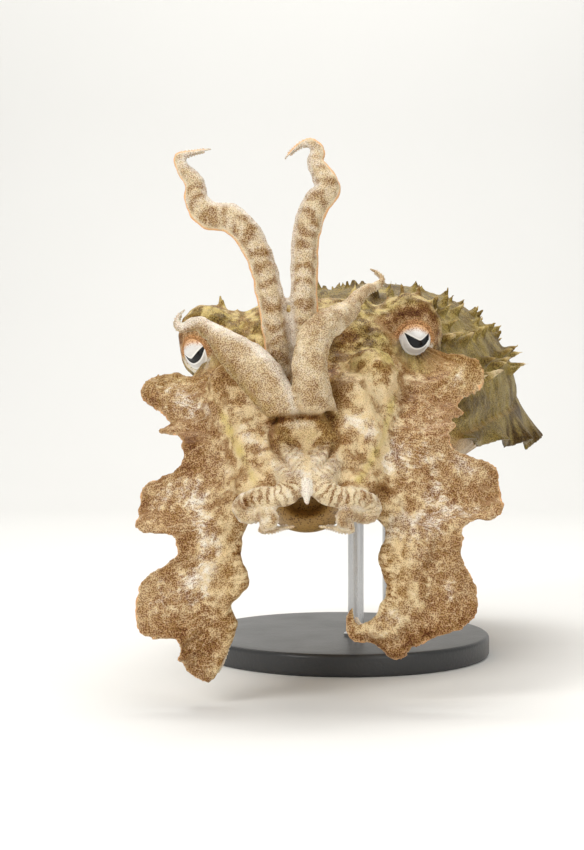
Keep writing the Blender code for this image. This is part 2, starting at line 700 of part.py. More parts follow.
# The broad fourth pair, as pairs of points on the inner and the outer edge
ARM_4_RIGHT = [
    ((-33, -102.5, 105.5), (-56, -102.5, 106.5)), ((-31, -110, 94.5), (-61, -107, 93)),
    ((-24, -118, 84), (-54.5, -113, 81)), ((-22.5, -122.5, 73.5), (-56, -118, 70)),
    ((-28, -124, 64), (-57, -122, 60)), ((-35, -124, 55), (-56, -124, 50)),
    ((-35.5, -125, 46.5), (-56.5, -125, 41.5)), ((-33.5, -125, 38), (-57, -125, 30)),
    ((-38.5, -124.5, 31), (-55.5, -124, 19.5)), ((-37, -124, 25), (-55, -123, 14)),
    ((-39, -123, 17.5), (-52, -122, 9.5)), ((-42.5, -122, 11), (-48.5, -121, 7.8)),
    ((-45, -121, 8.8), (-46.5, -121, 8)),
]
ARM_4_LEFT = [
    ((-1.5, -102.5, 108), (28.5, -102.5, 113)), ((-3, -110, 96), (31.5, -106, 97.5)),
    ((-7, -118, 85), (29.5, -113, 83)), ((-8.5, -122.5, 74), (33.5, -118, 74)),
    ((-2.5, -124, 65), (34, -122, 61.5)), ((8.5, -124, 55.5), (33, -124, 51)),
    ((7, -125, 45.5), (31, -125, 40)), ((9.5, -125, 37), (29.5, -125, 30)),
    ((7.5, -125, 32), (21, -124.5, 24.5)), ((6, -125, 28.2), (12, -124, 14)),
    ((3, -124.5, 27.2), (4.5, -124, 19)), ((1.2, -124, 26.6), (-1.5, -123, 19.5)),
    ((0.6, -123, 27.6), (-3.6, -122, 24.5)), ((0, -122, 29), (-2.6, -121, 28.5)),
    ((-0.6, -121, 30.4), (-1.6, -121, 30.6)),
]
# Share of the length: middle of the core from the inner edge, and the core's half width
ARM_4_CORE = [
    (0, 9, 11), (0.2, 9, 10), (0.4, 8.5, 8.5), (0.6, 8, 7.5), (0.75, 6.5, 6), (0.88, 3.5, 3.4),
    (1, 0.5, 0.8),
]
ARM_4_THICK = [(0, 3.2), (0.15, 4.4), (0.4, 4.0), (0.65, 3.0), (0.8, 2.3), (0.92, 1.4), (1, 0.5)]
# Lobes of the outer edge: share of the arm's length, reach, half breadth and squareness
ARM_4_RIGHT_LOBES = [
    (0.060, 10.2, 0.058, 3), (0.200, 6.0, 0.018, 2), (0.432, 12.2, 0.085, 8), (0.690, 12.0, 0.082, 6),
    (0.930, 2.4, 0.050, 4),
]
ARM_4_LEFT_LOBES = [
    (0.052, 12.8, 0.047, 4), (0.125, 2.4, 0.030, 4), (0.160, 5.0, 0.016, 2), (0.205, 2.5, 0.018, 3),
    (0.380, 12.2, 0.088, 8), (0.690, 7.4, 0.100, 4),
]
# Size, count and phase of the waves along the outer edge
RUFFLE_RIGHT = (5.0, 4.0, 0.1)
RUFFLE_LEFT = (5.0, 4.0, 0.3)
# Where each pair is divided, as shares of the length, and its suckers' count and radius
CUTS = {1: (0.16, 0.52), 2: (0.15, 0.55), 3: (0.2, 0.56), 4: (0.31, 0.58)}
SUCKERS = {1: (17, 1.7), 2: (10, 1.6), 3: (10, 1.5), 4: (18, 1.7)}


def mirrored(path, side):
    """The third arm's path, given from the midline, placed on one side of it."""
    return [(MIDLINE + side * x, y, z) for x, y, z in path]


def make_arms():
    """Every arm by name."""
    arms = {}
    for name, path, widths, thick, turn, pair in (
            ("arm_1_right", ARM_1_RIGHT, ARM_1_WIDTHS, ARM_1_THICK, -1, 1),
            ("arm_1_left", ARM_1_LEFT, ARM_1_WIDTHS, ARM_1_THICK, 1, 1),
            ("arm_2_right", ARM_2_RIGHT, ARM_2_RIGHT_WIDTHS, ARM_2_THICK, -1, 2),
            ("arm_2_left", ARM_2_LEFT, ARM_2_LEFT_WIDTHS, ARM_2_THICK, 1, 2),
            ("arm_3_right", mirrored(ARM_3, -1), ARM_3_WIDTHS, ARM_3_THICK, 1, 3),
            ("arm_3_left", mirrored(ARM_3, 1), ARM_3_WIDTHS, ARM_3_THICK, -1, 3)):
        edges, run = round_arm(path, widths, turn)
        arms[name] = Arm(edges, run, core_of(widths), thick, CUTS[pair], SUCKERS[pair])
    for name, pairs, lobes, ruffle in (("arm_4_right", ARM_4_RIGHT, ARM_4_RIGHT_LOBES, RUFFLE_RIGHT),
                                       ("arm_4_left", ARM_4_LEFT, ARM_4_LEFT_LOBES, RUFFLE_LEFT)):
        edges, run = broad_arm(pairs)
        arms[name] = Arm(edges, run, ARM_4_CORE, ARM_4_THICK, CUTS[4], SUCKERS[4])
        arms[name].lobes = lobes
        arms[name].ruffle = ruffle
        arms[name].columns = (0.0,) + BROAD_COLUMNS + (1.0,)
    return arms


LENGTH_NAMES = ("base", "tip")
ARM_STEP = 4.0
CROWN_DEPTHS = (HEAD_CUT - GAP, -102, -107, -112, -116, -120, -123, -124.5)
# Suckers keep this share of the arm's length clear at each cut, and stop short of the tip
SUCKER_CLEAR = 0.02
SUCKER_LAST = 0.9


def make_crown_and_arms():
    """The crown of flesh that the arms stand on, with their first stretch, then each arm in lengths."""
    arms = make_arms()
    crown = [tube([head_ring(y) for y in CROWN_DEPTHS])]
    for name, arm in arms.items():
        ends = (0.0,) + arm.cuts + (1.0,)
        half_gap = GAP / 2 / arm.run
        crown.append(arm.length_of(0.0, ends[1] - half_gap, ARM_STEP))
        for part, first, last in zip(LENGTH_NAMES, ends[1:-1], ends[2:]):
            first += half_gap
            last -= half_gap if last < 1 else 0
            pieces = [arm.length_of(first, last, ARM_STEP)]
            count, radius = arm.suckers
            count = max(3, int(round(count * (last - first))))
            until = min(last - SUCKER_CLEAR, SUCKER_LAST)
            pieces += arm.sucker_row(first + SUCKER_CLEAR, until, count, radius)
            fused(f"{name}_{part}", pieces, SKIN_PALE)
    fused("crown", crown, SKIN)


# Tentacle tips: the drawn-in feeding tentacles, showing as one pale ridge between the third arms

TENTACLE_PATH = [
    (MIDLINE, -124.95, 86), (MIDLINE, -129, 85.5), (MIDLINE, -135.5, 78), (MIDLINE, -139, 71),
    (MIDLINE, -138.6, 64),
]
TENTACLE_RADII = [(0, 0.6), (0.25, 0.6), (0.5, 1.1), (0.8, 1.7), (0.94, 1.3), (1, 0.5)]


def make_tentacle_tips():
    shares = np.linspace(0, 1, 9)
    centres, tangents, _ = along(TENTACLE_PATH, shares)
    radii = through([r[0] for r in TENTACLE_RADII], [r[1] for r in TENTACLE_RADII], shares)
    rings = []
    for centre, tangent, radius in zip(centres, tangents, radii):
        side = np.array([1.0, 0.0, 0.0])
        other = np.cross(tangent, side)
        turns = [2 * math.pi * j / 8 for j in range(8)]
        rings.append([centre + radius * (math.cos(t) * side + math.sin(t) * other) for t in turns])
    fused("tentacle_tips", [tube(rings)], SKIN_PALE)


# Stand: a flat oval foot with two rods that enter the belly

FOOT_THICK = 8.0
FOOT_HALF = (56.0, 66.0)
FOOT_BEVEL = 1.5
FOOT_SIDES = 40


def make_stand():
    rings = []
    for height, shrink in ((0, FOOT_BEVEL), (FOOT_BEVEL, 0),
                           (FOOT_THICK - FOOT_BEVEL, 0), (FOOT_THICK, FOOT_BEVEL)):
        turns = [2 * math.pi * j / FOOT_SIDES for j in range(FOOT_SIDES)]
        rings.append([((FOOT_HALF[0] - shrink) * math.cos(t), (FOOT_HALF[1] - shrink) * math.sin(t), height)
                      for t in turns])
    fused("stand_foot", [tube(rings)], STAND_PAINT)
    for name, share in zip(("stand_rod_front", "stand_rod_rear"), ROD_SHARES):
        belly = mantle_spot(share, math.pi)
        rod = post(belly, FOOT_THICK + GAP, belly[2] + ROD_DEPTH - ROD_END_GAP, ROD_RADIUS)
        fused(name, [rod], STAND_STEEL)


def main():
    for obj in list(bpy.data.objects):
        bpy.data.objects.remove(obj)
    make_mantle()
    make_fins()
    make_head()
    make_funnel()
    make_crown_and_arms()
    make_tentacle_tips()
    make_stand()


main()
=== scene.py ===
"""Broadclub cuttlefish, life size, head on with its arms spread, held level on a display stand.

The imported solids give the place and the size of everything. Each section below makes one piece
over its solids: sizes, colours, mesh, finish, and its place in the frame. Sizes are in
millimetres and MM turns them into metres. The animal faces -Y and its left side is at +X.
"""
import math
import random

import bmesh
import bpy
import numpy as np
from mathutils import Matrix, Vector, kdtree, noise


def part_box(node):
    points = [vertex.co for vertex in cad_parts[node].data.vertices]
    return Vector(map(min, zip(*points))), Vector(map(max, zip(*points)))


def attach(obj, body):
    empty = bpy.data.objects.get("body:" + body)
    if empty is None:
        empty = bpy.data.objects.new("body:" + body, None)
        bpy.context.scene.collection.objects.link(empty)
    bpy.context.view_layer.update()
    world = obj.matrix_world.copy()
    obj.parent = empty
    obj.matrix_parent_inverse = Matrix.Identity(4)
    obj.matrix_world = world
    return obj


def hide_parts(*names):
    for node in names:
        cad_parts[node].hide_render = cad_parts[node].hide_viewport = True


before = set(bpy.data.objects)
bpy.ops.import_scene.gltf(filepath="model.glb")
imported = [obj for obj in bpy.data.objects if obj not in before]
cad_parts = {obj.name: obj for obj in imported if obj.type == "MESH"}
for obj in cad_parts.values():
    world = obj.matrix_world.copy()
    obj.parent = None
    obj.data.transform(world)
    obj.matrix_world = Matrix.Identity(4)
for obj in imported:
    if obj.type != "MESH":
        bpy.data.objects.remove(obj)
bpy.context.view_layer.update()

MM = 0.001


# Camera and studio. The camera stands level and head on, 0.55 m in front of the eyes. Large
# soft lamps light the model from both sides and from above, over a pale seamless floor.

camera = bpy.data.objects.new("camera", bpy.data.cameras.new("camera"))
camera.location = (-0.020, -0.632, 0.088)
camera.rotation_euler = (math.radians(90), 0, 0)
camera.data.sensor_fit = "VERTICAL"
camera.data.sensor_height = 36.0
camera.data.lens = 68.92
camera.data.clip_start = 0.01
bpy.context.scene.collection.objects.link(camera)
bpy.context.scene.camera = camera
bpy.context.scene.view_settings.view_transform = "Standard"

# Place, width and height, power and the point that each lamp is turned to
LAMPS = {
    "lamp_right": ((-0.62, -0.85, 0.62), 0.45, 0.45, 6.4, (-0.02, -0.10, 0.09)),
    "lamp_left": ((0.66, -0.80, 0.50), 0.60, 0.60, 2.8, (-0.02, -0.10, 0.09)),
    "lamp_top": ((0.00, 0.05, 0.95), 0.70, 0.70, 4.2, (0.0, 0.0, 0.08)),
    "lamp_backdrop": ((0.00, 0.55, 1.60), 1.20, 0.60, 16.0, (0.0, 1.5, 0.15)),
}
LAMP_TINT = (1.0, 0.98, 0.94)
for name, (place, wide, high, power, aim) in LAMPS.items():
    lamp = bpy.data.objects.new(name, bpy.data.lights.new(name, "AREA"))
    lamp.data.shape = "RECTANGLE"
    lamp.data.size, lamp.data.size_y = wide, high
    lamp.data.energy, lamp.data.color = power, LAMP_TINT
    lamp.location = place
    lamp.rotation_euler = (Vector(aim) - Vector(place)).to_track_quat("-Z", "Y").to_euler()
    bpy.context.scene.collection.objects.link(lamp)

room = bpy.data.worlds.new("room")
room.use_nodes = True
room.node_tree.nodes["Background"].inputs["Color"].default_value = (0.90, 0.90, 0.89, 1)
room.node_tree.nodes["Background"].inputs["Strength"].default_value = 0.36
bpy.context.scene.world = room


def solid(name, points, faces, material=None):
    """A smooth-shaded object from points in millimetres and their faces."""
    mesh = bpy.data.meshes.new(name)
    mesh.from_pydata((np.asarray(points) * MM).tolist(), [], [tuple(f) for f in np.asarray(faces).tolist()]
                     if isinstance(faces, np.ndarray) else faces)
    mesh.shade_smooth()
    if material:
        mesh.materials.append(material)
    made = bpy.data.objects.new(name, mesh)
    bpy.context.scene.collection.objects.link(made)
    return made


class Wire:
    """A socket of a node tree. A sum written with it adds the Math nodes that work it out."""

    def __init__(self, tree, socket=None):
        self.tree, self.socket = tree, socket

    def node(self, kind, settings=None, inputs=None, output=0):
        """Adds one node: first its settings, then the values or links of its sockets."""
        made = self.tree.nodes.new(kind)
        for name, value in (settings or {}).items():
            if name == "stops":
                stops = made.color_ramp.elements
                while len(stops) < len(value):
                    stops.new(0.5)
                for stop, (at, colour) in zip(stops, value):
                    stop.position, stop.color = at, (*colour, 1)
            else:
                setattr(made, name, value)
        for name, value in (inputs or {}).items():
            if isinstance(value, Wire):
                self.tree.links.new(value.socket, made.inputs[name])
            else:
                made.inputs[name].default_value = value
        return Wire(self.tree, made.outputs[output] if made.outputs else None)

    def math(self, operation, *values):
        return self.node("ShaderNodeMath", {"operation": operation}, dict(enumerate(values)))

    def __add__(self, other):
        return self.math("ADD", self, other)

    def __sub__(self, other):
        return self.math("SUBTRACT", self, other)

    def __rsub__(self, other):
        return self.math("SUBTRACT", other, self)

    def __mul__(self, other):
        return self.math("MULTIPLY", self, other)

    def __truediv__(self, other):
        return self.math("DIVIDE", self, other)

    def __pow__(self, other):
        return self.math("POWER", self, other)

    __radd__, __rmul__ = __add__, __mul__

    def ease(self, low, high):
        """0 under low, 1 over high, and a smooth rise between them, or a fall where low is over high."""
        return self.node("ShaderNodeMapRange", {"interpolation_type": "SMOOTHSTEP"},
                         {"Value": self, "From Min": low, "From Max": high})

    def between_values(self, low, high):
        """The same value, held between these two."""
        return self.node("ShaderNodeClamp", inputs={"Value": self, "Min": low, "Max": high})

    def between(self, first, second, blend="MIX"):
        """The colour mixed from the first to the second as this goes from 0 to 1."""
        first, second = (c if isinstance(c, Wire) else (*c, 1) for c in (first, second))
        return self.node("ShaderNodeMix", {"data_type": "RGBA", "blend_type": blend},
                         {0: self, 6: first, 7: second}, 2)

    def marked(self, name):
        """The value that the mesh carries under this name."""
        return self.node("ShaderNodeAttribute", {"attribute_name": name}, output="Fac")

    def place(self):
        return self.node("ShaderNodeTexCoord", output="Object")

    def cloud(self, place, scale, detail=2.0):
        """Soft noise about 0, from about -0.5 to 0.5."""
        return self.node("ShaderNodeTexNoise",
                         inputs={"Vector": place, "Scale": scale, "Detail": detail}) - 0.5

    def raised(self, height, distance, under=None):
        """The surface's direction with this height added to it, in metres at height 1."""
        sockets = {"Height": height, "Distance": distance}
        if under:
            sockets["Normal"] = under
        return self.node("ShaderNodeBump", inputs=sockets)

    def finish(self, sockets):
        """Closes the material with a Principled shader that has these values and links."""
        shader = self.node("ShaderNodeBsdfPrincipled", inputs=sockets)
        self.node("ShaderNodeOutputMaterial", inputs={"Surface": shader})


def new_material(name):
    material = bpy.data.materials.new(name)
    material.use_nodes = True
    material.node_tree.nodes.clear()
    return material, Wire(material.node_tree)


paper, w = new_material("paper")
w.finish({"Base Color": (w.cloud(w.place(), 3.0) + 0.5).between((0.80, 0.80, 0.79), (0.84, 0.84, 0.83)),
          "Roughness": 0.85})
SWEEP_WIDE, SWEEP_FRONT, SWEEP_BACK, SWEEP_BEND, SWEEP_HIGH = 2600.0, -1500.0, 1000.0, 500.0, 2200.0
profile = [(SWEEP_FRONT, 0.0)]
for step in range(25):
    turn = math.radians(90 * step / 24)
    profile.append((SWEEP_BACK + SWEEP_BEND * math.sin(turn), SWEEP_BEND * (1 - math.cos(turn))))
profile.append((SWEEP_BACK + SWEEP_BEND, SWEEP_HIGH))
points = [(x, y, z) for y, z in profile for x in (-SWEEP_WIDE, SWEEP_WIDE)]
panels = [(2 * i, 2 * i + 1, 2 * i + 3, 2 * i + 2) for i in range(len(profile) - 1)]
sweep = solid("floor", points, panels, paper)


# Stand foot. A flat oval of cast metal with a rounded rim, painted satin dark grey. It lies on
# its underside, and the two rods are screwed into it.

FOOT_HALF = (56.0, 66.0)
FOOT_THICK = 8.0
FOOT_ROUND = 1.5
FOOT_SIDES = 180


def tube(rings):
    """A closed mesh of rings of equal count, one after the other, with a fan over each end."""
    rings = np.asarray(rings, float)
    n, k = rings.shape[:2]
    points = np.concatenate([rings.reshape(-1, 3), rings[0].mean(0)[None], rings[-1].mean(0)[None]])
    i, j = np.meshgrid(np.arange(n - 1), np.arange(k), indexing="ij")
    a, b = (i * k + j).ravel(), (i * k + (j + 1) % k).ravel()
    sides = np.stack([a, b, b + k, a + k], axis=1)
    j = np.arange(k)
    start = np.stack([np.full(k, n * k), (j + 1) % k, j], axis=1)
    end = np.stack([np.full(k, n * k + 1), (n - 1) * k + j, (n - 1) * k + (j + 1) % k], axis=1)
    faces = sides.tolist() + start.tolist() + end.tolist()
    p, q, r = (points[sides[:, c]] for c in (0, 1, 2))
    if np.einsum("ij,ij->i", p, np.cross(q, r)).sum() < 0:
        faces = [f[::-1] for f in faces]
    return points, faces


def oval(middle, wide, deep, height, count):
    turn = 2 * np.pi * np.arange(count) / count
    return np.stack([middle[0] + wide * np.cos(turn), middle[1] + deep * np.sin(turn),
                     np.full(count, float(height))], axis=1)


paint, w = new_material("stand_paint")
at = w.place()
peel = w.cloud(at, 900.0, 1.0)
dust = w.cloud(at, 60.0, 4.0)
w.finish({"Base Color": (dust + 0.5).between((0.026, 0.027, 0.029), (0.042, 0.042, 0.043)),
          "Roughness": 0.42 + dust * 0.18,
          "Normal": w.raised(peel, 0.00012),
          "Coat Weight": 0.15, "Coat Roughness": 0.25})

rings = []
for upper_rim in (False, True):
    for step in range(7):
        turn = math.radians(90 - 90 * step / 6 if upper_rim else 90 * step / 6)
        shrink = FOOT_ROUND * (1 - math.sin(turn))
        rise = FOOT_ROUND * (1 - math.cos(turn))
        height = FOOT_THICK - rise if upper_rim else rise
        rings.append(oval((0, 0), FOOT_HALF[0] - shrink, FOOT_HALF[1] - shrink, height, FOOT_SIDES))
for share in (0.9, 0.6, 0.3):
    rings.append(oval((0, 0), (FOOT_HALF[0] - FOOT_ROUND) * share, (FOOT_HALF[1] - FOOT_ROUND) * share,
                      FOOT_THICK, FOOT_SIDES))
foot = solid("foot", *tube(rings), paint)
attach(foot, "root")
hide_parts("stand_foot")


# Stand rods. Two round bars of brushed steel, each with a narrow collar where it is screwed
# into the foot. Their upper ends are glued into sockets in the belly.

ROD_RADIUS = 3.0
ROD_CHAMFER = 0.4
ROD_SINK = 0.6
ROD_SIDES = 64
RING_RADIUS, RING_HIGH, RING_BEVEL = 4.6, 1.2, 0.3

steel, w = new_material("stand_steel")
at = w.place()
drawn = w.node("ShaderNodeMapping", inputs={"Vector": at, "Scale": (1.0, 1.0, 0.03)})
lines = w.cloud(drawn, 5200.0, 2.0)
smear = w.cloud(at, 120.0, 3.0)
w.finish({"Base Color": (lines + 0.5).between((0.50, 0.50, 0.51), (0.66, 0.66, 0.66)),
          "Metallic": 1.0,
          "Roughness": 0.30 + lines * 0.18 + smear * 0.10,
          "Normal": w.raised(lines, 0.00004)})

for name in ("stand_rod_front", "stand_rod_rear"):
    low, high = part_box(name)
    middle = ((low[0] + high[0]) / 2 / MM, (low[1] + high[1]) / 2 / MM)
    top = high[2] / MM
    ring_top = FOOT_THICK + RING_HIGH
    bar_start, bar_end = ring_top + 0.05, top - ROD_CHAMFER
    outline = [(FOOT_THICK - ROD_SINK, ROD_RADIUS), (FOOT_THICK, RING_RADIUS),
               (ring_top - RING_BEVEL, RING_RADIUS), (ring_top, RING_RADIUS - RING_BEVEL),
               (ring_top, ROD_RADIUS + 0.02)]
    outline += [(bar_start + (bar_end - bar_start) * step / 39, ROD_RADIUS) for step in range(40)]
    outline.append((top, ROD_RADIUS - ROD_CHAMFER))
    rings = [oval(middle, radius, radius, height, ROD_SIDES) for height, radius in outline]
    rod = solid(name.replace("stand_", ""), *tube(rings), steel)
    rod.data.set_sharp_from_angle(angle=math.radians(40))
    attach(rod, "root")
    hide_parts(name)


# Skin. Thin wet skin over soft flesh, cream to olive underneath, with thousands of tiny colour sacs in it.
# The mesh carries how dense and how red the dots are, and where the skin beneath them is golden, white or,
# along the edges, orange. The same marks also carry painted shade, in the creases, round the tan patch and
# beside and along the second arms, and a painted highlight along the upper edge of the right second arm.

SKIN_CREAM = (0.73, 0.53, 0.265)
SKIN_PALE = (0.78, 0.65, 0.43)
SKIN_GOLD = (0.63, 0.49, 0.165)
SKIN_WHITE = (0.87, 0.80, 0.69)
SKIN_RIM = (0.88, 0.50, 0.24)
BLOTCH_BROWN = (0.290, 0.122, 0.008)
BLOTCH_RED = (0.268, 0.096, 0.014)
BLOTCH_OLIVE = (0.142, 0.094, 0.008)
DOT_SHADE = (0.42, 0.32, 0.20)
DOT_AMBER = (0.300, 0.180, 0.040)
DOTS_TO_THE_METRE = 2050.0

skin, w = new_material("skin")
at = w.place()
x, y, z = (w.node("ShaderNodeSeparateXYZ", inputs={0: at}, output=c) for c in (0, 1, 2))
# Dots lie flat on the skin: it is seen along the axis that it is turned to
flat_x = x + (y - x) * w.marked("side_on")
flat_z = z + (y - z) * w.marked("top_on")
flat = w.node("ShaderNodeCombineXYZ", inputs={0: flat_x, 1: flat_z})
blotch = w.cloud(at, 90.0, 2.0)
mottle = w.cloud(at, 330.0, 3.0)
ragged = w.cloud(at, 260.0, 7.0)
crumbs = w.cloud(at, 720.0, 4.0)
grain = w.cloud(at, 800.0, 3.0)
speck = w.cloud(at, 2300.0, 1.0)
patchy = w.marked("patchy")
along, inward = w.marked("along"), w.marked("inward")
# Pale lines that wander in from the edges of the broad arms, and fine bars across the others
wander = w.cloud(w.node("ShaderNodeCombineXYZ", inputs={0: along * 0.40, 1: inward * 0.22}), 1.0, 3.0)
line = w.math("ABSOLUTE", wander).ease(0.060, 0.015) * w.marked("lined") * (mottle + blotch).ease(-0.20, 0.10)
stripe = w.math("SINE", along * 3.0 + mottle * 9.0 + blotch * 6.0).ease(-0.3, 0.9) * w.marked("striped")
laid = w.marked("ink")
cover = (laid - 0.5 + ragged * 2.2 + crumbs * 2.0).ease(-0.48, 0.48)
ink = laid + blotch * 0.20 + grain * 0.45 + (cover - laid) * patchy * 0.72
ink = (ink - line * 0.40 + (stripe - w.marked("striped") * 0.4) * 0.65).between_values(0.0, 1.4)
cells = {"Vector": flat, "Scale": DOTS_TO_THE_METRE, "Randomness": 1.0}
dots = w.node("ShaderNodeTexVoronoi", {"voronoi_dimensions": "2D"}, cells)
tint = w.node("ShaderNodeTexVoronoi", {"voronoi_dimensions": "2D"}, cells, "Color")
size, kind = (w.node("ShaderNodeSeparateColor", inputs={"Color": tint}, output=c) for c in (0, 1))
dot = ((0.20 + ink.ease(0.0, 0.35) * 0.09 + ink * 0.17 + (size - 0.5) * 0.14) - dots).ease(-0.12, 0.12)
under = (w.marked("pale") + mottle * 0.5).ease(0.0, 1.0).between(SKIN_CREAM, SKIN_PALE)
under = (w.marked("gold") + mottle * 0.7).ease(0.15, 0.85).between(under, SKIN_GOLD)
white = w.marked("white") + crumbs * 1.1 + line * 0.2 - ragged * patchy * 1.3
under = white.ease(0.2, 0.9).between(under, SKIN_WHITE)
under = (w.marked("rim") + grain * 0.4).ease(0.2, 0.8).between(under, SKIN_RIM)
brown = (w.marked("red") + blotch * 0.5).ease(0.1, 0.9).between(BLOTCH_BROWN, BLOTCH_RED)
brown = (w.marked("gold") + blotch * 0.4).ease(0.3, 0.9).between(brown, BLOTCH_OLIVE)
dark = (ink * 0.35 + 0.65).between(brown, DOT_SHADE, "MULTIPLY")
dark = (kind.ease(0.55, 0.75) * 0.6).between(dark, DOT_AMBER)
toned = (ink * 0.72).between(under, brown)
colour = (dot * (ink * 0.40 + 0.50)).between(toned, dark)
# Where the dots' density passes 1 the colour is darkened further: the darkest patches of dots, and the
# painted shade of the creases and round the tan patch.
colour = (ink.ease(0.95, 1.35) * 0.8).between(colour, DOT_SHADE, "MULTIPLY")
pores = grain * 0.9 + ragged * 1.6 + speck * 0.25
w.finish({"Base Color": colour,
          "Roughness": 0.46 + grain * 0.25 + speck * 0.1,
          "Normal": w.raised(pores, 0.00045),
          "Subsurface Weight": 0.12, "Subsurface Radius": (0.0030, 0.0014, 0.0008),
          "Specular IOR Level": 0.22, "Coat Weight": 0.04, "Coat Roughness": 0.30, "IOR": 1.38})


# Mantle and fins. The mantle is a broad flattened bag of muscle round the cuttlebone, open at
# the front in a collar round the neck. A thin frilled fin runs along each flank, and rows of
# pointed skin flaps stand on the back, the longest along the flanks.

MANTLE_FRONT = np.array([-9.0, -53.5, 87.0])
MANTLE_LENGTH = 196.0
UP = np.array([0.0, 0.0, 1.0])
FRONT = np.array([0.0, -1.0, 0.0])


def unit(vectors):
    return vectors / np.linalg.norm(vectors, axis=-1, keepdims=True)


MANTLE_AXIS = unit(np.array([56.0, 192.0, 22.0]))
ROLL = math.radians(3.0)
LEVEL_SIDE = unit(np.cross(MANTLE_AXIS, UP))
LEVEL_BACK = np.cross(LEVEL_SIDE, MANTLE_AXIS)
MANTLE_SIDE = LEVEL_SIDE * math.cos(ROLL) + LEVEL_BACK * math.sin(ROLL)
MANTLE_BACK = np.cross(MANTLE_SIDE, MANTLE_AXIS)
# Share of the length: half width, height over the axis and depth under it
MANTLE_SECTIONS = np.array([
    (0.000, 42.0, 42.0, 25.5), (0.025, 44.5, 44.5, 27.5), (0.250, 51.5, 48.0, 28.5),
    (0.450, 54.0, 48.5, 27.5), (0.650, 49.5, 43.5, 24.0), (0.800, 39.0, 34.0, 18.5),
    (0.920, 23.0, 20.5, 11.0), (0.985, 8.5, 8.0, 5.0), (1.000, 2.5, 2.5, 2.0),
])
MANTLE_POINTS = 200
MANTLE_VOXEL = 0.88
MANTLE_KEPT = 0.73
COLLAR_DEPTH = 7.0


def through(knots, values, at):
    """A smooth cubic through the values at the knots."""
    knots, values = np.asarray(knots, float), np.asarray(values, float)
    at = np.clip(np.asarray(at, float), knots[0], knots[-1])
    slopes = np.gradient(values, knots, axis=0)
    i = np.clip(np.searchsorted(knots, at, side="right") - 1, 0, len(knots) - 2)
    h = knots[i + 1] - knots[i]
    u = (at - knots[i]) / h
    if values.ndim == 2:
        u, h = u[..., None], h[..., None]
    start = (2 * u**3 - 3 * u**2 + 1) * values[i] + (u**3 - 2 * u**2 + u) * h * slopes[i]
    return start + (3 * u**2 - 2 * u**3) * values[i + 1] + (u**3 - u**2) * h * slopes[i + 1]


def mantle_skin(share, turn, scale=1.0):
    """Points of the mantle's skin, at angles from the midline of the back, positive to its left."""
    share, turn = np.broadcast_arrays(np.asarray(share, float), np.asarray(turn, float))
    wide, high, deep = (through(MANTLE_SECTIONS[:, 0], MANTLE_SECTIONS[:, c], share) * scale
                        for c in (1, 2, 3))
    rise = np.cos(turn)
    tall = np.where(rise > 0, high, deep) * rise
    return (MANTLE_FRONT + MANTLE_AXIS * (MANTLE_LENGTH * share)[..., None]
            + MANTLE_SIDE * (wide * np.sin(turn))[..., None] + MANTLE_BACK * tall[..., None])


def mantle_outward(share, turn, step=0.02):
    ahead = mantle_skin(np.minimum(share + step, 1), turn) - mantle_skin(np.maximum(share - step, 0), turn)
    return unit(np.cross(mantle_skin(share, turn + step) - mantle_skin(share, turn - step), ahead))


FIN_WIDTH = 17.0
FIN_HALF = (1.5, 0.85)
FIN_STANDOFF = 1.2
FIN_WAVES, FIN_SWING = 5.0, 3.2
FIN_TUCK = math.radians(60.0)
FIN_TURN = 2 * math.pi * 8 / 28
FIN_FIRST, FIN_LAST = 0.06, 0.965
FIN_STATIONS = 260
# Shares of a fin's width, from inside the mantle's flesh out to the edge
FIN_COLUMNS = np.linspace(-0.12, 1, 16)


def sheet(front, back):
    """A closed mesh between a front and a back grid."""
    n, m = front.shape[:2]
    points = np.concatenate([front.reshape(-1, 3), back.reshape(-1, 3)])
    f = np.arange(n * m).reshape(n, m)
    b = f + n * m
    quads = [np.stack([f[:-1, :-1], f[:-1, 1:], f[1:, 1:], f[1:, :-1]], axis=-1).reshape(-1, 4),
             np.stack([b[:-1, :-1], b[1:, :-1], b[1:, 1:], b[:-1, 1:]], axis=-1).reshape(-1, 4),
             np.stack([f[:-1, 0], f[1:, 0], b[1:, 0], b[:-1, 0]], axis=-1),
             np.stack([f[:-1, -1], b[:-1, -1], b[1:, -1], f[1:, -1]], axis=-1),
             np.stack([f[0, :-1], b[0, :-1], b[0, 1:], f[0, 1:]], axis=-1),
             np.stack([f[-1, :-1], f[-1, 1:], b[-1, 1:], b[-1, :-1]], axis=-1)]
    faces = np.concatenate(quads)
    p, q, r = (points[faces[:, c]] for c in (0, 1, 2))
    turned = np.einsum("ij,ij->i", p, np.cross(q, r)).sum() < 0
    return points, (faces[:, ::-1] if turned else faces).tolist()


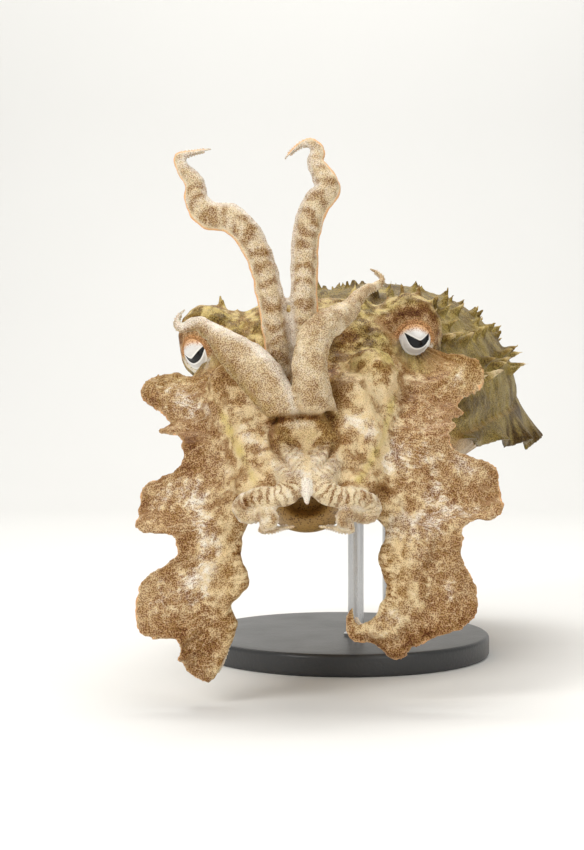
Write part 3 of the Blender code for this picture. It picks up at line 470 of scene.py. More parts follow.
def fin(side):
    """Upper and lower grids of one fin, from its root by the mantle out to its wavy edge."""
    share = np.linspace(FIN_FIRST, FIN_LAST, FIN_STATIONS)
    root = mantle_skin(share, side * FIN_TURN)
    away = mantle_outward(share, side * FIN_TURN)
    reach = (share - FIN_FIRST) / (FIN_LAST - FIN_FIRST)
    swell = np.where(reach < 0.5, np.minimum(1, 0.06 + reach * 1.2), np.minimum(1, 0.25 + (1 - reach) * 3.2))
    width = FIN_WIDTH * np.sin(np.pi / 2 * swell)
    flat = unit(away * math.cos(FIN_TUCK) - MANTLE_BACK * math.sin(FIN_TUCK))
    across = unit(np.cross(MANTLE_AXIS, flat))
    across = np.where((across @ MANTLE_BACK)[:, None] > 0, across, -across)
    upper, lower = [], []
    for q in FIN_COLUMNS:
        wave = FIN_SWING * max(q, 0) ** 1.5 * np.sin(2 * np.pi * (FIN_WAVES * reach + 0.2 * side))
        wave += 0.35 * max(q, 0) ** 2 * np.sin(2 * np.pi * 23 * reach)
        middle = root + away * FIN_STANDOFF + flat * (width * q)[:, None] + across * wave[:, None]
        half = FIN_HALF[0] + (FIN_HALF[1] - FIN_HALF[0]) * max(q, 0)
        upper.append(middle + across * half)
        lower.append(middle - across * half)
    return np.stack(upper, axis=1), np.stack(lower, axis=1)


def grown(tree, name, points, marks, settings):
    """Runs a Geometry Nodes tree on loose points that carry marks, and returns the plain mesh."""
    cloud = solid(name, points, [])
    for mark, values in marks.items():
        values = np.asarray(values, float)
        kind, field = ("FLOAT_VECTOR", "vector") if values.ndim == 2 else ("FLOAT", "value")
        cloud.data.attributes.new(mark, kind, "POINT").data.foreach_set(field, values.ravel())
    growth = cloud.modifiers.new("growth", "NODES")
    growth.node_group = tree
    for item in tree.interface.items_tree:
        if item.item_type == "SOCKET" and item.in_out == "INPUT" and item.name in settings:
            growth[item.identifier] = settings[item.name]
    mesh = bpy.data.meshes.new_from_object(cloud.evaluated_get(bpy.context.evaluated_depsgraph_get()))
    bpy.data.objects.remove(cloud)
    return mesh


def new_tree(name, inputs):
    """An empty Geometry Nodes tree with points coming in, named inputs, and geometry going out."""
    tree = bpy.data.node_groups.new(name, "GeometryNodeTree")
    tree.interface.new_socket("Points", in_out="INPUT", socket_type="NodeSocketGeometry")
    for label, (kind, value) in inputs.items():
        socket = tree.interface.new_socket(label, in_out="INPUT", socket_type="NodeSocket" + kind)
        if value is not None:
            socket.default_value = value
    tree.interface.new_socket("Mesh", in_out="OUTPUT", socket_type="NodeSocketGeometry")
    entry = tree.nodes.new("NodeGroupInput")
    return tree, {socket.name: Wire(tree, socket) for socket in entry.outputs if socket.name}


def carried(w, name, kind="FLOAT"):
    """The value that the loose points carry under this name."""
    return w.node("GeometryNodeInputNamedAttribute", {"data_type": kind}, {"Name": name})


def stand_on_points(given, piece, rotation, scale):
    """Stands the piece on every point, joins the copies into one mesh and closes the tree."""
    w = given["Points"]
    stood = w.node("GeometryNodeInstanceOnPoints",
                   inputs={"Points": w, "Instance": piece, "Rotation": rotation,
                           "Scale": w.node("ShaderNodeCombineXYZ", inputs=dict(enumerate(scale)))})
    stood = w.node("GeometryNodeRealizeInstances", inputs={"Geometry": stood})
    stood = w.node("GeometryNodeSetMaterial", inputs={"Geometry": stood, "Material": given["Finish"]})
    w.node("NodeGroupOutput", inputs={"Mesh": stood})


# A papilla is a ribbed cone with a hollow flank, one unit high, bent over at its tip
papilla_tree, given = new_tree("papillae", {
    "Sides": ("Int", 16), "Bend": ("Float", 0.22), "Ribs": ("Float", 0.12), "Sink": ("Float", 0.14),
    "Finish": ("Material", None), "Seed": ("Int", 3)})
w = given["Points"]
cone = w.node("GeometryNodeMeshCone", {"fill_type": "TRIANGLE_FAN"},
              {"Vertices": given["Sides"], "Side Segments": 10, "Radius Top": 0.06,
               "Radius Bottom": 1.0, "Depth": 1.0})
spot = w.node("GeometryNodeInputPosition")
x, y, z = (w.node("ShaderNodeSeparateXYZ", inputs={0: spot}, output=c) for c in (0, 1, 2))
slim = (0.05 + (1.001 - z) ** 1.6 * 0.95) / (1.0 - z * 0.94)
ribs = 1 + given["Ribs"] * w.math("COSINE", w.math("ARCTAN2", y, x) * 5) * (1 - z)
shaped = w.node("ShaderNodeCombineXYZ", inputs={
    0: x * slim * ribs + given["Bend"] * z * z, 1: y * slim * ribs,
    2: z * (1 + given["Sink"]) - given["Sink"]})
cone = w.node("GeometryNodeSetPosition", inputs={"Geometry": cone, "Position": shaped})
tall, girth = carried(w, "tall"), carried(w, "girth")
roll = w.node("FunctionNodeRandomValue", {"data_type": "FLOAT"}, {2: 0.0, 3: 6.283, "Seed": given["Seed"]}, 1)
rolled = w.node("FunctionNodeAxisAngleToRotation", inputs={"Axis": (0, 0, 1), "Angle": roll})
turned = w.node("FunctionNodeAlignRotationToVector", {"axis": "Z"},
                {"Vector": carried(w, "lean", "FLOAT_VECTOR")})
turned = w.node("FunctionNodeRotateRotation", {"rotation_space": "LOCAL"},
                {"Rotation": turned, "Rotate By": rolled})
stand_on_points(given, cone, turned, (girth, girth, tall))


def papillae(name, points, leans, lengths, radii):
    """Closed cones rooted in the flesh at the points, as points in millimetres and faces."""
    mesh = grown(papilla_tree, name, points, {"lean": leans, "tall": np.asarray(lengths) * MM,
                                             "girth": np.asarray(radii) * MM}, {"Finish": skin})
    spots = np.empty(len(mesh.vertices) * 3)
    mesh.vertices.foreach_get("co", spots)
    faces = [tuple(face.vertices) for face in mesh.polygons]
    bpy.data.meshes.remove(mesh)
    return spots.reshape(-1, 3) / MM, faces


def drop_crumbs(mesh):
    """Leaves only the largest connected body: the remeshing cuts crumbs off thin tips."""
    form = bmesh.new()
    form.from_mesh(mesh)
    bodies, seen = [], set()
    for start in form.verts:
        if start in seen:
            continue
        seen.add(start)
        body, waiting = [], [start]
        while waiting:
            vertex = waiting.pop()
            body.append(vertex)
            for edge in vertex.link_edges:
                other = edge.other_vert(vertex)
                if other not in seen:
                    seen.add(other)
                    waiting.append(other)
        bodies.append(body)
    bodies.sort(key=len)
    bmesh.ops.delete(form, geom=[vertex for body in bodies[:-1] for vertex in body], context="VERTS")
    form.to_mesh(mesh)
    form.free()


def one_skin(name, forms, voxel, rounds, kept=1.0):
    """One closed skin round overlapping closed forms: a voxel remesh, a light smoothing, and a
    share of the faces kept, where flat skin loses more of them than points and edges do."""
    points, faces = [], []
    for some, their in forms:
        base = sum(len(p) for p in points)
        points.append(some)
        faces += [tuple(v + base for v in face) for face in their]
    rough_form = solid(name + "_forms", np.concatenate(points), faces)
    remesh = rough_form.modifiers.new("remesh", "REMESH")
    remesh.mode = "VOXEL"
    remesh.voxel_size = voxel * MM
    smooth = rough_form.modifiers.new("smooth", "SMOOTH")
    smooth.factor, smooth.iterations = 0.5, rounds
    if kept < 1:
        rough_form.modifiers.new("thin", "DECIMATE").ratio = kept
    mesh = bpy.data.meshes.new_from_object(rough_form.evaluated_get(bpy.context.evaluated_depsgraph_get()))
    bpy.data.objects.remove(rough_form)
    drop_crumbs(mesh)
    mesh.name = name
    mesh.shade_smooth()
    mesh.materials.clear()
    mesh.materials.append(skin)
    made = bpy.data.objects.new(name, mesh)
    bpy.context.scene.collection.objects.link(made)
    return made


def spots_of(mesh):
    """The mesh's points in millimetres, and which way the skin faces at each."""
    spots, normals = np.empty(len(mesh.vertices) * 3), np.empty(len(mesh.vertices) * 3)
    mesh.vertices.foreach_get("co", spots)
    mesh.vertex_normals.foreach_get("vector", normals)
    return spots.reshape(-1, 3) / MM, normals.reshape(-1, 3)


def move_to(mesh, spots):
    mesh.vertices.foreach_set("co", (spots * MM).ravel())
    mesh.update()


def lumps(points, size, shift=0.0):
    """Soft noise from -1 to 1 at the points, with lumps of about this size, in mm, in each direction."""
    scaled = np.asarray(points) / np.asarray(size, float) + shift
    return np.array([noise.noise(Vector(p)) for p in scaled])


def carry(mesh, name, values):
    """Gives the mesh a value at every point, which the finish reads by its name."""
    mesh.attributes.new(name, "FLOAT", "POINT").data.foreach_set("value", np.asarray(values, float))


def mark(mesh, name, values):
    """The same for a mark of the skin, which is a share and is held near 0 to 1."""
    carry(mesh, name, np.clip(values, -1, 2))


def mark_turn(mesh, normals):
    """Marks which way the skin is turned, so that the dots lie flat on it."""
    x, y, z = abs(normals).T
    side_on = x > np.maximum(y, z)
    mark(mesh, "side_on", side_on)
    mark(mesh, "top_on", (z > y) & ~side_on)


def ease(values, low, high):
    """0 at low, 1 at high, smooth between."""
    u = np.clip((np.asarray(values, float) - low) / (high - low), 0, 1)
    return u * u * (3 - 2 * u)


def nearest(samples, points):
    """For each point, the row of the nearest sample and how far away it is."""
    tree = kdtree.KDTree(len(samples))
    for i, sample in enumerate(samples):
        tree.insert(Vector(sample), i)
    tree.balance()
    found = [tree.find(Vector(p)) for p in points]
    return np.array([f[1] for f in found]), np.array([f[2] for f in found])


turns = 2 * np.pi * (np.arange(MANTLE_POINTS) + 0.5) / MANTLE_POINTS
rings = [mantle_skin(COLLAR_DEPTH / MANTLE_LENGTH, turns, 0.80), mantle_skin(0.012, turns, 0.84),
         mantle_skin(0.001, turns, 0.88), mantle_skin(-0.004, turns, 0.93), mantle_skin(0.0, turns, 0.975)]
stations = np.concatenate([np.linspace(0.008, 0.9, 130), np.linspace(0.91, 1.0, 24)])
rings += [mantle_skin(share, turns) for share in stations]
mantle_form = tube(rings)
fins = [fin(side) for side in (-1, 1)]

# Rows of papillae on each side: angle from the midline, first and last share, count, length, radius
PAPILLA_ROWS = [
    (0.10, 0.05, 0.90, 9, 4.2, 2.3), (0.34, 0.03, 0.88, 10, 4.8, 2.5), (0.58, 0.06, 0.88, 10, 6.0, 2.8),
    (0.82, 0.03, 0.88, 12, 7.4, 2.9), (1.05, 0.06, 0.88, 14, 8.4, 2.9), (1.28, 0.04, 0.91, 17, 10.8, 3.3),
]
draw = random.Random(11)
shares, angles, leans, lengths, radii = [], [], [], [], []
for turn, first, last, count, length, radius in PAPILLA_ROWS:
    for side in (-1, 1):
        for i in range(count):
            evenly = first + (last - first) * (i + 0.5 * (side > 0)) / (count - 0.5)
            shares.append(evenly + draw.uniform(-0.014, 0.014))
            angles.append(side * (turn + draw.uniform(-0.09, 0.09)))
            lengths.append(length * draw.uniform(0.7, 1.35) * (1.08 - 0.4 * shares[-1]))
            radii.append(radius * draw.uniform(0.85, 1.15) * (1.0 - 0.3 * shares[-1]))
            leans.append(mantle_outward(shares[-1], angles[-1]) + MANTLE_AXIS * draw.uniform(-0.15, 0.4)
                         + MANTLE_BACK * draw.uniform(-0.25, 0.15))
flap_roots = mantle_skin(np.array(shares), np.array(angles))
flaps = papillae("mantle_flaps", flap_roots, np.array(leans), lengths, radii)
forms = [mantle_form] + [sheet(*grids) for grids in fins] + [flaps]
body = one_skin("mantle_and_fins", forms, MANTLE_VOXEL, 2, MANTLE_KEPT)

spots, normals = spots_of(body.data)
fin_samples = np.concatenate([np.concatenate([g.reshape(-1, 3) for g in grids]) for grids in fins])
fin_reach = np.tile(FIN_COLUMNS, FIN_STATIONS * 4)
far = nearest(mantle_form[0][:-2], spots)[1]
fin_close, fin_far = nearest(fin_samples, spots)
on_fin = ease(far - fin_far, 0.5, 2.0)
stand_out = ease(far, 1.2, 7.0) * (1 - on_fin)
along_mantle = (spots - MANTLE_FRONT) @ MANTLE_AXIS / MANTLE_LENGTH
height = (spots - MANTLE_FRONT) @ MANTLE_BACK
side_of = np.arctan2((spots - MANTLE_FRONT) @ MANTLE_SIDE, height)
grid = np.stack([along_mantle * MANTLE_LENGTH, side_of * 45.0, stand_out * 4], axis=1)
on_back = ease(height, -16, 0)
wrinkles = lumps(grid, (26.0, 3.4, 8.0)) * 0.75 + lumps(grid, (9.0, 1.9, 8.0), 7.0) * 0.35
wrinkles *= 1 - 0.65 * ease(along_mantle, 0.10, 0.45)
lumpy = lumps(spots, 9.0, 3.0) * 0.7 + lumps(spots, 3.2, 5.0) * 0.3
move_to(body.data, spots + normals * ((wrinkles + lumpy) * (1 - on_fin) * (0.25 + 0.75 * on_back))[:, None])
streak = lumps(grid, (30.0, 5.0, 9.0), 2.0) * (1 - 0.6 * ease(along_mantle, 0.10, 0.45))
marbling = ease(lumps(spots, 13.0, 4.0) + 0.5 * lumps(spots, 5.0, 8.0), -0.25, 0.3) - 0.5
ink = 0.95 + 0.40 * marbling * ease(along_mantle, 0.0, 0.3) + 0.40 * streak + 0.30 * wrinkles
ink += 0.10 * on_fin - 0.75 * ease(stand_out, 0.2, 0.9) - 0.40 * (1 - on_back) * (1 - on_fin)
mark(body.data, "ink", ink)
mark(body.data, "red", 0.05 + 0.15 * streak)
mark(body.data, "gold", (0.90 - 0.50 * stand_out) * np.maximum(on_back, on_fin) + 0.1 * streak)
mark(body.data, "pale", 0.1 + 0.8 * stand_out + 0.4 * (1 - on_back))
fin_edge = on_fin * ease(fin_reach[fin_close], 0.9, 1.0)
mark(body.data, "white", 0.15 * stand_out + 0.25 * (1 - on_back) + 0.3 * fin_edge)
mark(body.data, "patchy", 0.45 * on_back)
mark_turn(body.data, spots_of(body.data)[1])
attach(body, "root")
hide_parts("mantle", "fin_right", "fin_left")


# Funnel. The soft muscular tube under the head that the animal breathes out and swims by,
# smooth brown skin with fine dots and a thick round lip. It comes out of the mantle's collar.

FUNNEL_DROP = 14.5
FUNNEL_REAR = (17.5, 9.0)
FUNNEL_SIDES, FUNNEL_STEPS = 96, 90
# Centre, half width and half height of each section on the way to the mouth and back inside it
FUNNEL_SECTIONS = [
    ((-13.5, -72.0, 66.5), 17.0, 11.0), ((-14.5, -82.0, 63.0), 15.0, 10.5), ((-15.3, -90.0, 62.0), 13.0, 9.8),
    ((-15.5, -96.0, 62.5), 10.5, 8.0), ((-15.5, -98.0, 63.0), 8.5, 6.2), ((-15.5, -96.5, 63.0), 6.8, 4.6),
    ((-15.4, -90.0, 63.0), 5.4, 3.6),
]
funnel_skin, w = new_material("funnel_skin")
at = w.place()
grain = w.cloud(at, 300.0, 3.0)
dots = w.node("ShaderNodeTexVoronoi", inputs={"Vector": at, "Scale": 1350.0})
dot = ((0.36 + grain * 0.5) - dots).ease(-0.1, 0.1)
w.finish({"Base Color": dot.between((0.42, 0.25, 0.075), (0.14, 0.065, 0.016)),
          "Roughness": 0.42 + grain * 0.2, "Normal": w.raised(grain - dot * 0.2, 0.00018),
          "Subsurface Weight": 0.1, "Subsurface Radius": (0.003, 0.0014, 0.0008),
          "Coat Weight": 0.25, "Coat Roughness": 0.25, "IOR": 1.38})
turns = 2 * np.pi * np.arange(FUNNEL_SIDES) / FUNNEL_SIDES
rear = MANTLE_FRONT - MANTLE_BACK * FUNNEL_DROP
funnel_rings = []
for inward, grow in ((5.0, 0.92), (0.5, 1.0)):
    funnel_rings.append(rear + MANTLE_AXIS * inward
                        + MANTLE_SIDE * FUNNEL_REAR[0] * grow * np.cos(turns)[:, None]
                        + MANTLE_BACK * FUNNEL_REAR[1] * grow * np.sin(turns)[:, None])
for centre, wide, high in FUNNEL_SECTIONS:
    ring = np.stack([wide * np.cos(turns), 0 * turns, high * np.sin(turns)], axis=1)
    funnel_rings.append(np.array(centre) + ring)
knots = np.arange(len(funnel_rings))
steps = np.linspace(0, knots[-1], FUNNEL_STEPS)
flat_rings = np.array(funnel_rings).reshape(len(knots), -1)
smooth_rings = through(knots, flat_rings, steps).reshape(FUNNEL_STEPS, FUNNEL_SIDES, 3)
funnel = solid("funnel_tube", *tube(smooth_rings), funnel_skin)
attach(funnel, "root")
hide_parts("funnel")


# Eyes. Glossy balls set into the bulges at the sides of the head: silver-white, with a black
# U-shaped pupil low on the ball and a coppery pink veil of skin over its upper part.

# Centre, the way it is turned, its outer side, how far the pupil's outer end droops and how wide it is
EYES = {
    "right": (np.array([-47.5, -80.0, 114.0]), unit(np.array([-0.670, -0.670, -0.320])), 1,
              math.radians(15.0), 1.25),
    "left": (np.array([19.3, -80.0, 117.5]), unit(np.array([0.237, -0.958, -0.161])), -1,
             math.radians(0.0), 1.0),
}
EYE_RADIUS = 9.3
# The pupil hangs like a crescent from a notch: the notch's place, how steep the upper edge is on
# its inner and outer side, how deep the crescent is, where it is lowest and its bow on both
# sides of that, and where it ends
PUPILS = {
    "right": ((0.45, -0.70), (0.50, 0.95), 1.85, (0.4, 0.068, 0.190), (-5.2, 3.3)),
    "left": ((1.45, 0.20), (0.50, 0.85), 2.60, (1.0, 0.125, 0.070), (-5.6, 3.4)),
}


def eye_frame(gaze, outer_side):
    """The directions to the outer side of an eye and upwards, square to the way it is turned."""
    aside = unit(np.cross(gaze, UP))
    return aside * outer_side, np.cross(aside, gaze)


def round_ball(rows, columns):
    """Rings of points on a ball of radius 1, from its top to its bottom."""
    lift = np.pi * np.arange(1, rows) / rows
    turn = 2 * np.pi * np.arange(columns) / columns
    return np.stack([np.outer(np.sin(lift), np.cos(turn)), np.outer(np.sin(lift), np.sin(turn)),
                     np.outer(np.cos(lift), np.ones(columns))], axis=-1)


iris, w = new_material("eye_silver")
at = w.place()
across, up = w.marked("across"), w.marked("up")
grain = w.cloud(at, 1500.0, 2.0)
veins = w.cloud(w.node("ShaderNodeMapping", inputs={"Vector": at, "Scale": (1, 1, 4)}), 260.0, 3.0)
upper, lower = w.marked("upper"), w.marked("lower")
pupil = upper.ease(0.08, -0.08) * lower.ease(-0.08, 0.08) * w.marked("ends").ease(-0.08, 0.08)
silver = (up * 0.1 + veins * 0.8 + 0.45).ease(0.0, 1.0).between((0.66, 0.64, 0.62), (0.88, 0.86, 0.83))
ring = w.math("ABSOLUTE", upper - 0.32).ease(0.38, 0.12)
below = w.math("ABSOLUTE", lower + 0.30).ease(0.36, 0.10)
reach = w.math("SQRT", across * across + up * up)
bright_edge = w.math("ABSOLUTE", reach - 4.6).ease(0.5, 0.1) * up.ease(1.0, -1.5)
silver = (ring + below * 0.9 + bright_edge).between_values(0.0, 1.0).between(silver, (0.97, 0.96, 0.92))
flecks = w.node("ShaderNodeTexVoronoi", inputs={"Vector": at, "Scale": 1700.0}).ease(0.55, 0.25)
veil = (up + veins * 1.2 + across * across * 0.08 + flecks * 0.6).ease(2.9, 5.1)
silver = (veil * 0.95).between(silver, flecks.between((0.80, 0.46, 0.20), (0.42, 0.15, 0.05)))
silver = (reach.ease(5.4, 6.4) * 0.8).between(silver, (0.20, 0.10, 0.05))
w.finish({"Base Color": pupil.between(silver, (0.004, 0.004, 0.005)),
          "Roughness": 0.30 + grain * 0.1 - pupil * 0.1, "Metallic": (1 - pupil) * (1 - veil) * 0.05,
          "Normal": w.raised(veins + grain * 0.3, 0.00008),
          "Specular IOR Level": 0.25, "Coat Weight": 0.9 - pupil * 0.6, "Coat Roughness": 0.04, "IOR": 1.4})
for side, (centre, gaze, outer_side, droop, broad) in EYES.items():
    outward, above = eye_frame(gaze, outer_side)
    points, faces = tube(round_ball(96, 160) * EYE_RADIUS)
    points[-2], points[-1] = UP * EYE_RADIUS, -UP * EYE_RADIUS
    aside, up, ahead = points @ outward, points @ above, points @ gaze
    aside, up = (aside * math.cos(droop) / broad - up * math.sin(droop),
                 aside * math.sin(droop) + up * math.cos(droop))
    notch, slopes, deep, bows, ends = PUPILS[side]
    beside, over = aside - notch[0], up - notch[1]
    upper = over - (np.sqrt(beside * beside + 0.3) - 0.55) * np.where(beside < 0, slopes[0], slopes[1])
    lower = over + deep - abs(beside + bows[0]) ** 2.5 * np.where(beside < -bows[0], bows[1], bows[2])
    ends = np.minimum(beside - ends[0], ends[1] - beside)
    hollow = ease(-upper, -0.2, 0.5) * ease(lower, -0.2, 0.5) * ease(ends, -0.2, 0.5) * (ahead > 0)
    eye = solid(f"eyeball_{side}", centre + points * (1 - 0.03 * hollow)[:, None], faces, iris)
    for name, values in (("across", aside), ("up", np.where(ahead > 0, up, -9.0)), ("upper", upper),
                         ("lower", lower), ("ends", np.where(ahead > 0, ends, -9.0))):
        carry(eye.data, name, values)
    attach(eye, "root")
    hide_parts(f"eye_{side}")


# Head, crown and arms. Soft flesh under one unbroken skin: a broad head with the eyes bulging
# at its sides, and eight arms standing on its front. The first pair is raised, the fourth is
# spread into broad lobed flaps. The drawn-in feeding tentacles show as a ridge on the midline.

# Y of the section: centre X, half width, top, bottom, and how far it is turned with the mantle
HEAD_SECTIONS = np.array([
    (-60.0, -12.0, 34.5, 129.0, 84.0, 0.85), (-70.0, -13.0, 36.5, 130.5, 82.0, 0.50),
    (-80.0, -13.5, 38.0, 131.0, 79.0, 0.15), (-88.0, -14.0, 37.0, 128.5, 76.0, 0.0),
    (-97.0, -14.5, 33.5, 122.5, 73.0, 0.0), (-103.0, -15.0, 30.5, 114.5, 73.0, 0.0),
    (-109.0, -15.2, 28.0, 106.0, 76.0, 0.0), (-115.0, -15.4, 23.0, 99.0, 78.5, 0.0),
    (-120.0, -15.4, 17.0, 95.0, 81.0, 0.0), (-123.0, -15.4, 12.0, 92.5, 82.5, 0.0),
    (-124.5, -15.4, 7.0, 91.0, 84.0, 0.0),
])
HEAD_POINTS = 160
NECK_HALF = (31.0, 20.5)
NECK_RISE = 18.5
HEAD_VOXEL = 0.78
LEVEL_ROLLED = np.array([math.cos(ROLL), 0.0, math.sin(ROLL)])


def head_ring(depth):
    """A section of the head, a rounded square that turns from the mantle's face to the front."""
    values = through(-HEAD_SECTIONS[:, 0], HEAD_SECTIONS[:, 1:], [-depth])[0]
    middle_x, wide, top, bottom, turned = values
    side = unit(MANTLE_SIDE * turned + LEVEL_ROLLED * (1 - turned))
    back = unit(MANTLE_BACK * turned + UP * (1 - turned))
    turn = 2 * np.pi * np.arange(HEAD_POINTS) / HEAD_POINTS
    c, s = np.cos(turn), np.sin(turn)
    x = np.sign(c) * abs(c) ** 0.85 * wide
    z = np.sign(s) * abs(s) ** 0.9 * (top - bottom) / 2
    return np.array([middle_x, depth, (top + bottom) / 2]) + side * x[:, None] + back * z[:, None]


def neck_ring(inward, grow):
    turn = 2 * np.pi * np.arange(HEAD_POINTS) / HEAD_POINTS
    return (MANTLE_FRONT + MANTLE_BACK * NECK_RISE + MANTLE_AXIS * inward
            + MANTLE_SIDE * NECK_HALF[0] * grow * np.cos(turn)[:, None]
            + MANTLE_BACK * NECK_HALF[1] * grow * np.sin(turn)[:, None])


def ball_form(centre, radii):
    return tube(np.asarray(centre) + round_ball(40, 64) * np.asarray(radii))


def along(path, shares):
    """Points and directions at shares of the smooth curve through the path, and its length."""
    path = np.array(path, float)
    chord = np.concatenate([[0], np.cumsum(np.linalg.norm(np.diff(path, axis=0), axis=1))])
    dense = through(chord, path, np.linspace(0, chord[-1], 500))
    run = np.concatenate([[0], np.cumsum(np.linalg.norm(np.diff(dense, axis=0), axis=1))])

    def at(share):
        return np.stack([np.interp(share * run[-1], run, dense[:, k]) for k in range(3)], axis=-1)

    shares = np.asarray(shares, float)
    step = 0.004
    return at(shares), unit(at(np.minimum(shares + step, 1)) - at(np.maximum(shares - step, 0))), run[-1]


class Arm:
    """A flattened band between an inner and an outer edge, thick along its core."""

    def __init__(self, edges, run, core, thick, suckers, lobes=(), ruffle=(0, 0, 0)):
        self.edges, self.run, self.core, self.thick = edges, run, np.array(core), np.array(thick)
        self.suckers, self.lobes, self.ruffle = suckers, lobes, ruffle

    def sections(self, shares, columns, edge_half):
        """Front and back points at shares of the length and of the width, and the width there."""
        shares = np.asarray(shares, float)
        columns = np.broadcast_to(np.asarray(columns, float), (len(shares), np.shape(columns)[-1]))
        inner, outer, front = self.edges(shares)
        across = outer - inner
        width = np.linalg.norm(across, axis=1)
        across = across / width[:, None]
        swell = sum(reach * np.exp(-np.abs((shares - place) / breadth) ** squareness)
                    for place, reach, breadth, squareness in self.lobes)
        if self.lobes:
            bumps = np.array([[s * self.run / 3.1, 0.5, self.ruffle[2] * 9] for s in shares])
            fine = np.array([noise.noise(Vector(b)) for b in bumps])
            swell = swell + fine * 0.6 * ease(shares, 0.0, 0.05) * (1 - ease(shares, 0.9, 1.0))
        width = width + swell
        middle, half = (through(self.core[:, 0], self.core[:, c], shares)[:, None] for c in (1, 2))
        thick = through(self.thick[:, 0], self.thick[:, 1], shares)[:, None]
        thick = np.maximum(thick, edge_half)
        distance = columns * width[:, None]
        hump = np.sqrt(np.clip(1 - ((distance - middle) / half) ** 2, 0, 1))
        rise = edge_half + (thick - edge_half) * hump
        size, waves, phase = self.ruffle
        wave = size * np.sin(2 * np.pi * (waves * shares + phase))[:, None]
        wave = wave * np.maximum(0, columns - 0.35) ** 1.4
        spot = inner[:, None] + across[:, None] * distance[..., None] + front[:, None] * wave[..., None]
        lift = front[:, None] * rise[..., None]
        return spot + lift, spot - lift, width


def round_arm(path, widths, turn):
    """The edges of an arm from its centre line and its inner and outer half widths."""
    def edges(shares):
        centre, tangent, _ = along(path, shares)
        across = unit(np.cross(tangent, FRONT)) * turn
        front = unit(np.cross(across, tangent) * turn)
        front = np.where((front @ FRONT)[:, None] < 0, -front, front)
        knots = [w[0] for w in widths]
        inner, outer = (np.maximum(through(knots, [w[c] for w in widths], shares), 0.8) for c in (1, 2))
        return centre - across * inner[:, None], centre + across * outer[:, None], front
    return edges, along(path, [0.0])[2]


def broad_arm(pairs):
    """The edges of a broad arm from pairs of points on its inner and its outer edge."""
    inner, outer = (np.array([p[c] for p in pairs], float) for c in (0, 1))
    steps = sum(np.linalg.norm(np.diff(edge, axis=0), axis=1) for edge in (inner, outer)) / 2
    knots = np.concatenate([[0], np.cumsum(steps)])

    def edges(shares):
        at = np.asarray(shares) * knots[-1]
        a, b = through(knots, inner, at), through(knots, outer, at)
        ahead = through(knots, (inner + outer) / 2, np.minimum(at + 1, knots[-1]))
        behind = through(knots, (inner + outer) / 2, np.maximum(at - 1, 0))
        front = unit(np.cross(b - a, ahead - behind))
        return a, b, np.where((front @ FRONT)[:, None] < 0, -front, front)
    return edges, knots[-1]


def core_of(widths, keel=0.75):
    """A core in the middle of a round arm, with a thin keel left on each side of it."""
    return [(t, (a + b) / 2, max(0.3, (a + b) / 2 - keel * min(1, (a + b) / 6))) for t, a, b in widths]


ARM_1_RIGHT = [(-19.5, -106, 94.5), (-23, -113, 105), (-25.4, -116, 120.5), (-28.6, -116, 136.5),
               (-33.5, -115, 148), (-39.5, -114, 154), (-46.5, -113, 155), (-50.5, -112, 159.5),
               (-51, -110, 165.5), (-54.5, -108, 170), (-56.5, -107, 174.5), (-52.5, -107, 175.8),
               (-46, -108, 177)]
ARM_1_LEFT = [(-12.0, -106, 94.5), (-13.6, -113, 105.5), (-15.9, -116, 121), (-16.2, -116, 138.5),
              (-15.2, -115, 151), (-12.4, -114, 158.5), (-8.6, -113, 163.5), (-10.8, -111, 168.6),
              (-12.6, -109, 172.5), (-12, -107, 177), (-14.5, -107, 179.3), (-18.4, -107, 177.7),
              (-22.4, -108, 173.7)]
ARM_1_WIDTHS = [(0, 4.2, 4.4), (0.3, 4.2, 4.5), (0.5, 4.3, 4.6), (0.62, 4.4, 4.8), (0.72, 4.0, 4.2),
                (0.8, 3.0, 3.2), (0.87, 2.2, 2.4), (0.92, 1.3, 1.4), (0.96, 0.8, 0.8), (1, 0.4, 0.4)]
ARM_1_THICK = [(0, 4.2), (0.5, 4.0), (0.7, 3.2), (0.85, 1.9), (0.93, 1.0), (1, 0.4)]
ARM_2_RIGHT = [(-20.8, -122.5, 90.8), (-22.4, -125, 94), (-27, -125, 99.5), (-34.5, -121, 107.2),
               (-41.6, -116, 113.9), (-46.4, -112, 118.2), (-50.0, -109, 120.6), (-53.4, -107, 120.0),
               (-55.9, -106, 119.2), (-57.4, -105.5, 121.0), (-56.6, -105, 123.4), (-54.6, -104.5, 125.4)]
ARM_2_RIGHT_WIDTHS = [(0, 3.6, 6.0), (0.12, 5.6, 6.6), (0.3, 7.6, 6.6), (0.48, 6.2, 5.4), (0.6, 4.2, 3.8),
                      (0.7, 2.9, 2.8), (0.8, 2.2, 2.1), (0.9, 1.4, 1.4), (1, 0.4, 0.4)]
ARM_2_LEFT = [(-12.3, -123.5, 91.2), (-14, -127.5, 98), (-14.5, -128.5, 110.5), (-12, -127, 117),
              (-7, -123, 121), (-2.5, -118, 124), (0.5, -113, 128), (4, -109, 131.5),
              (8, -105, 133.5), (9.6, -103, 135.6), (8, -102, 137.4), (5.5, -101, 139)]
ARM_2_LEFT_WIDTHS = [(0, 5.4, 6.6), (0.25, 5.2, 6.0), (0.48, 4.6, 4.8), (0.62, 3.3, 3.4), (0.76, 2.0, 2.0),
                     (0.88, 1.3, 1.3), (1, 0.4, 0.4)]
ARM_2_THICK = [(0, 4.0), (0.3, 3.6), (0.6, 2.6), (0.8, 1.6), (0.92, 0.9), (1, 0.4)]
MIDLINE = -15.4
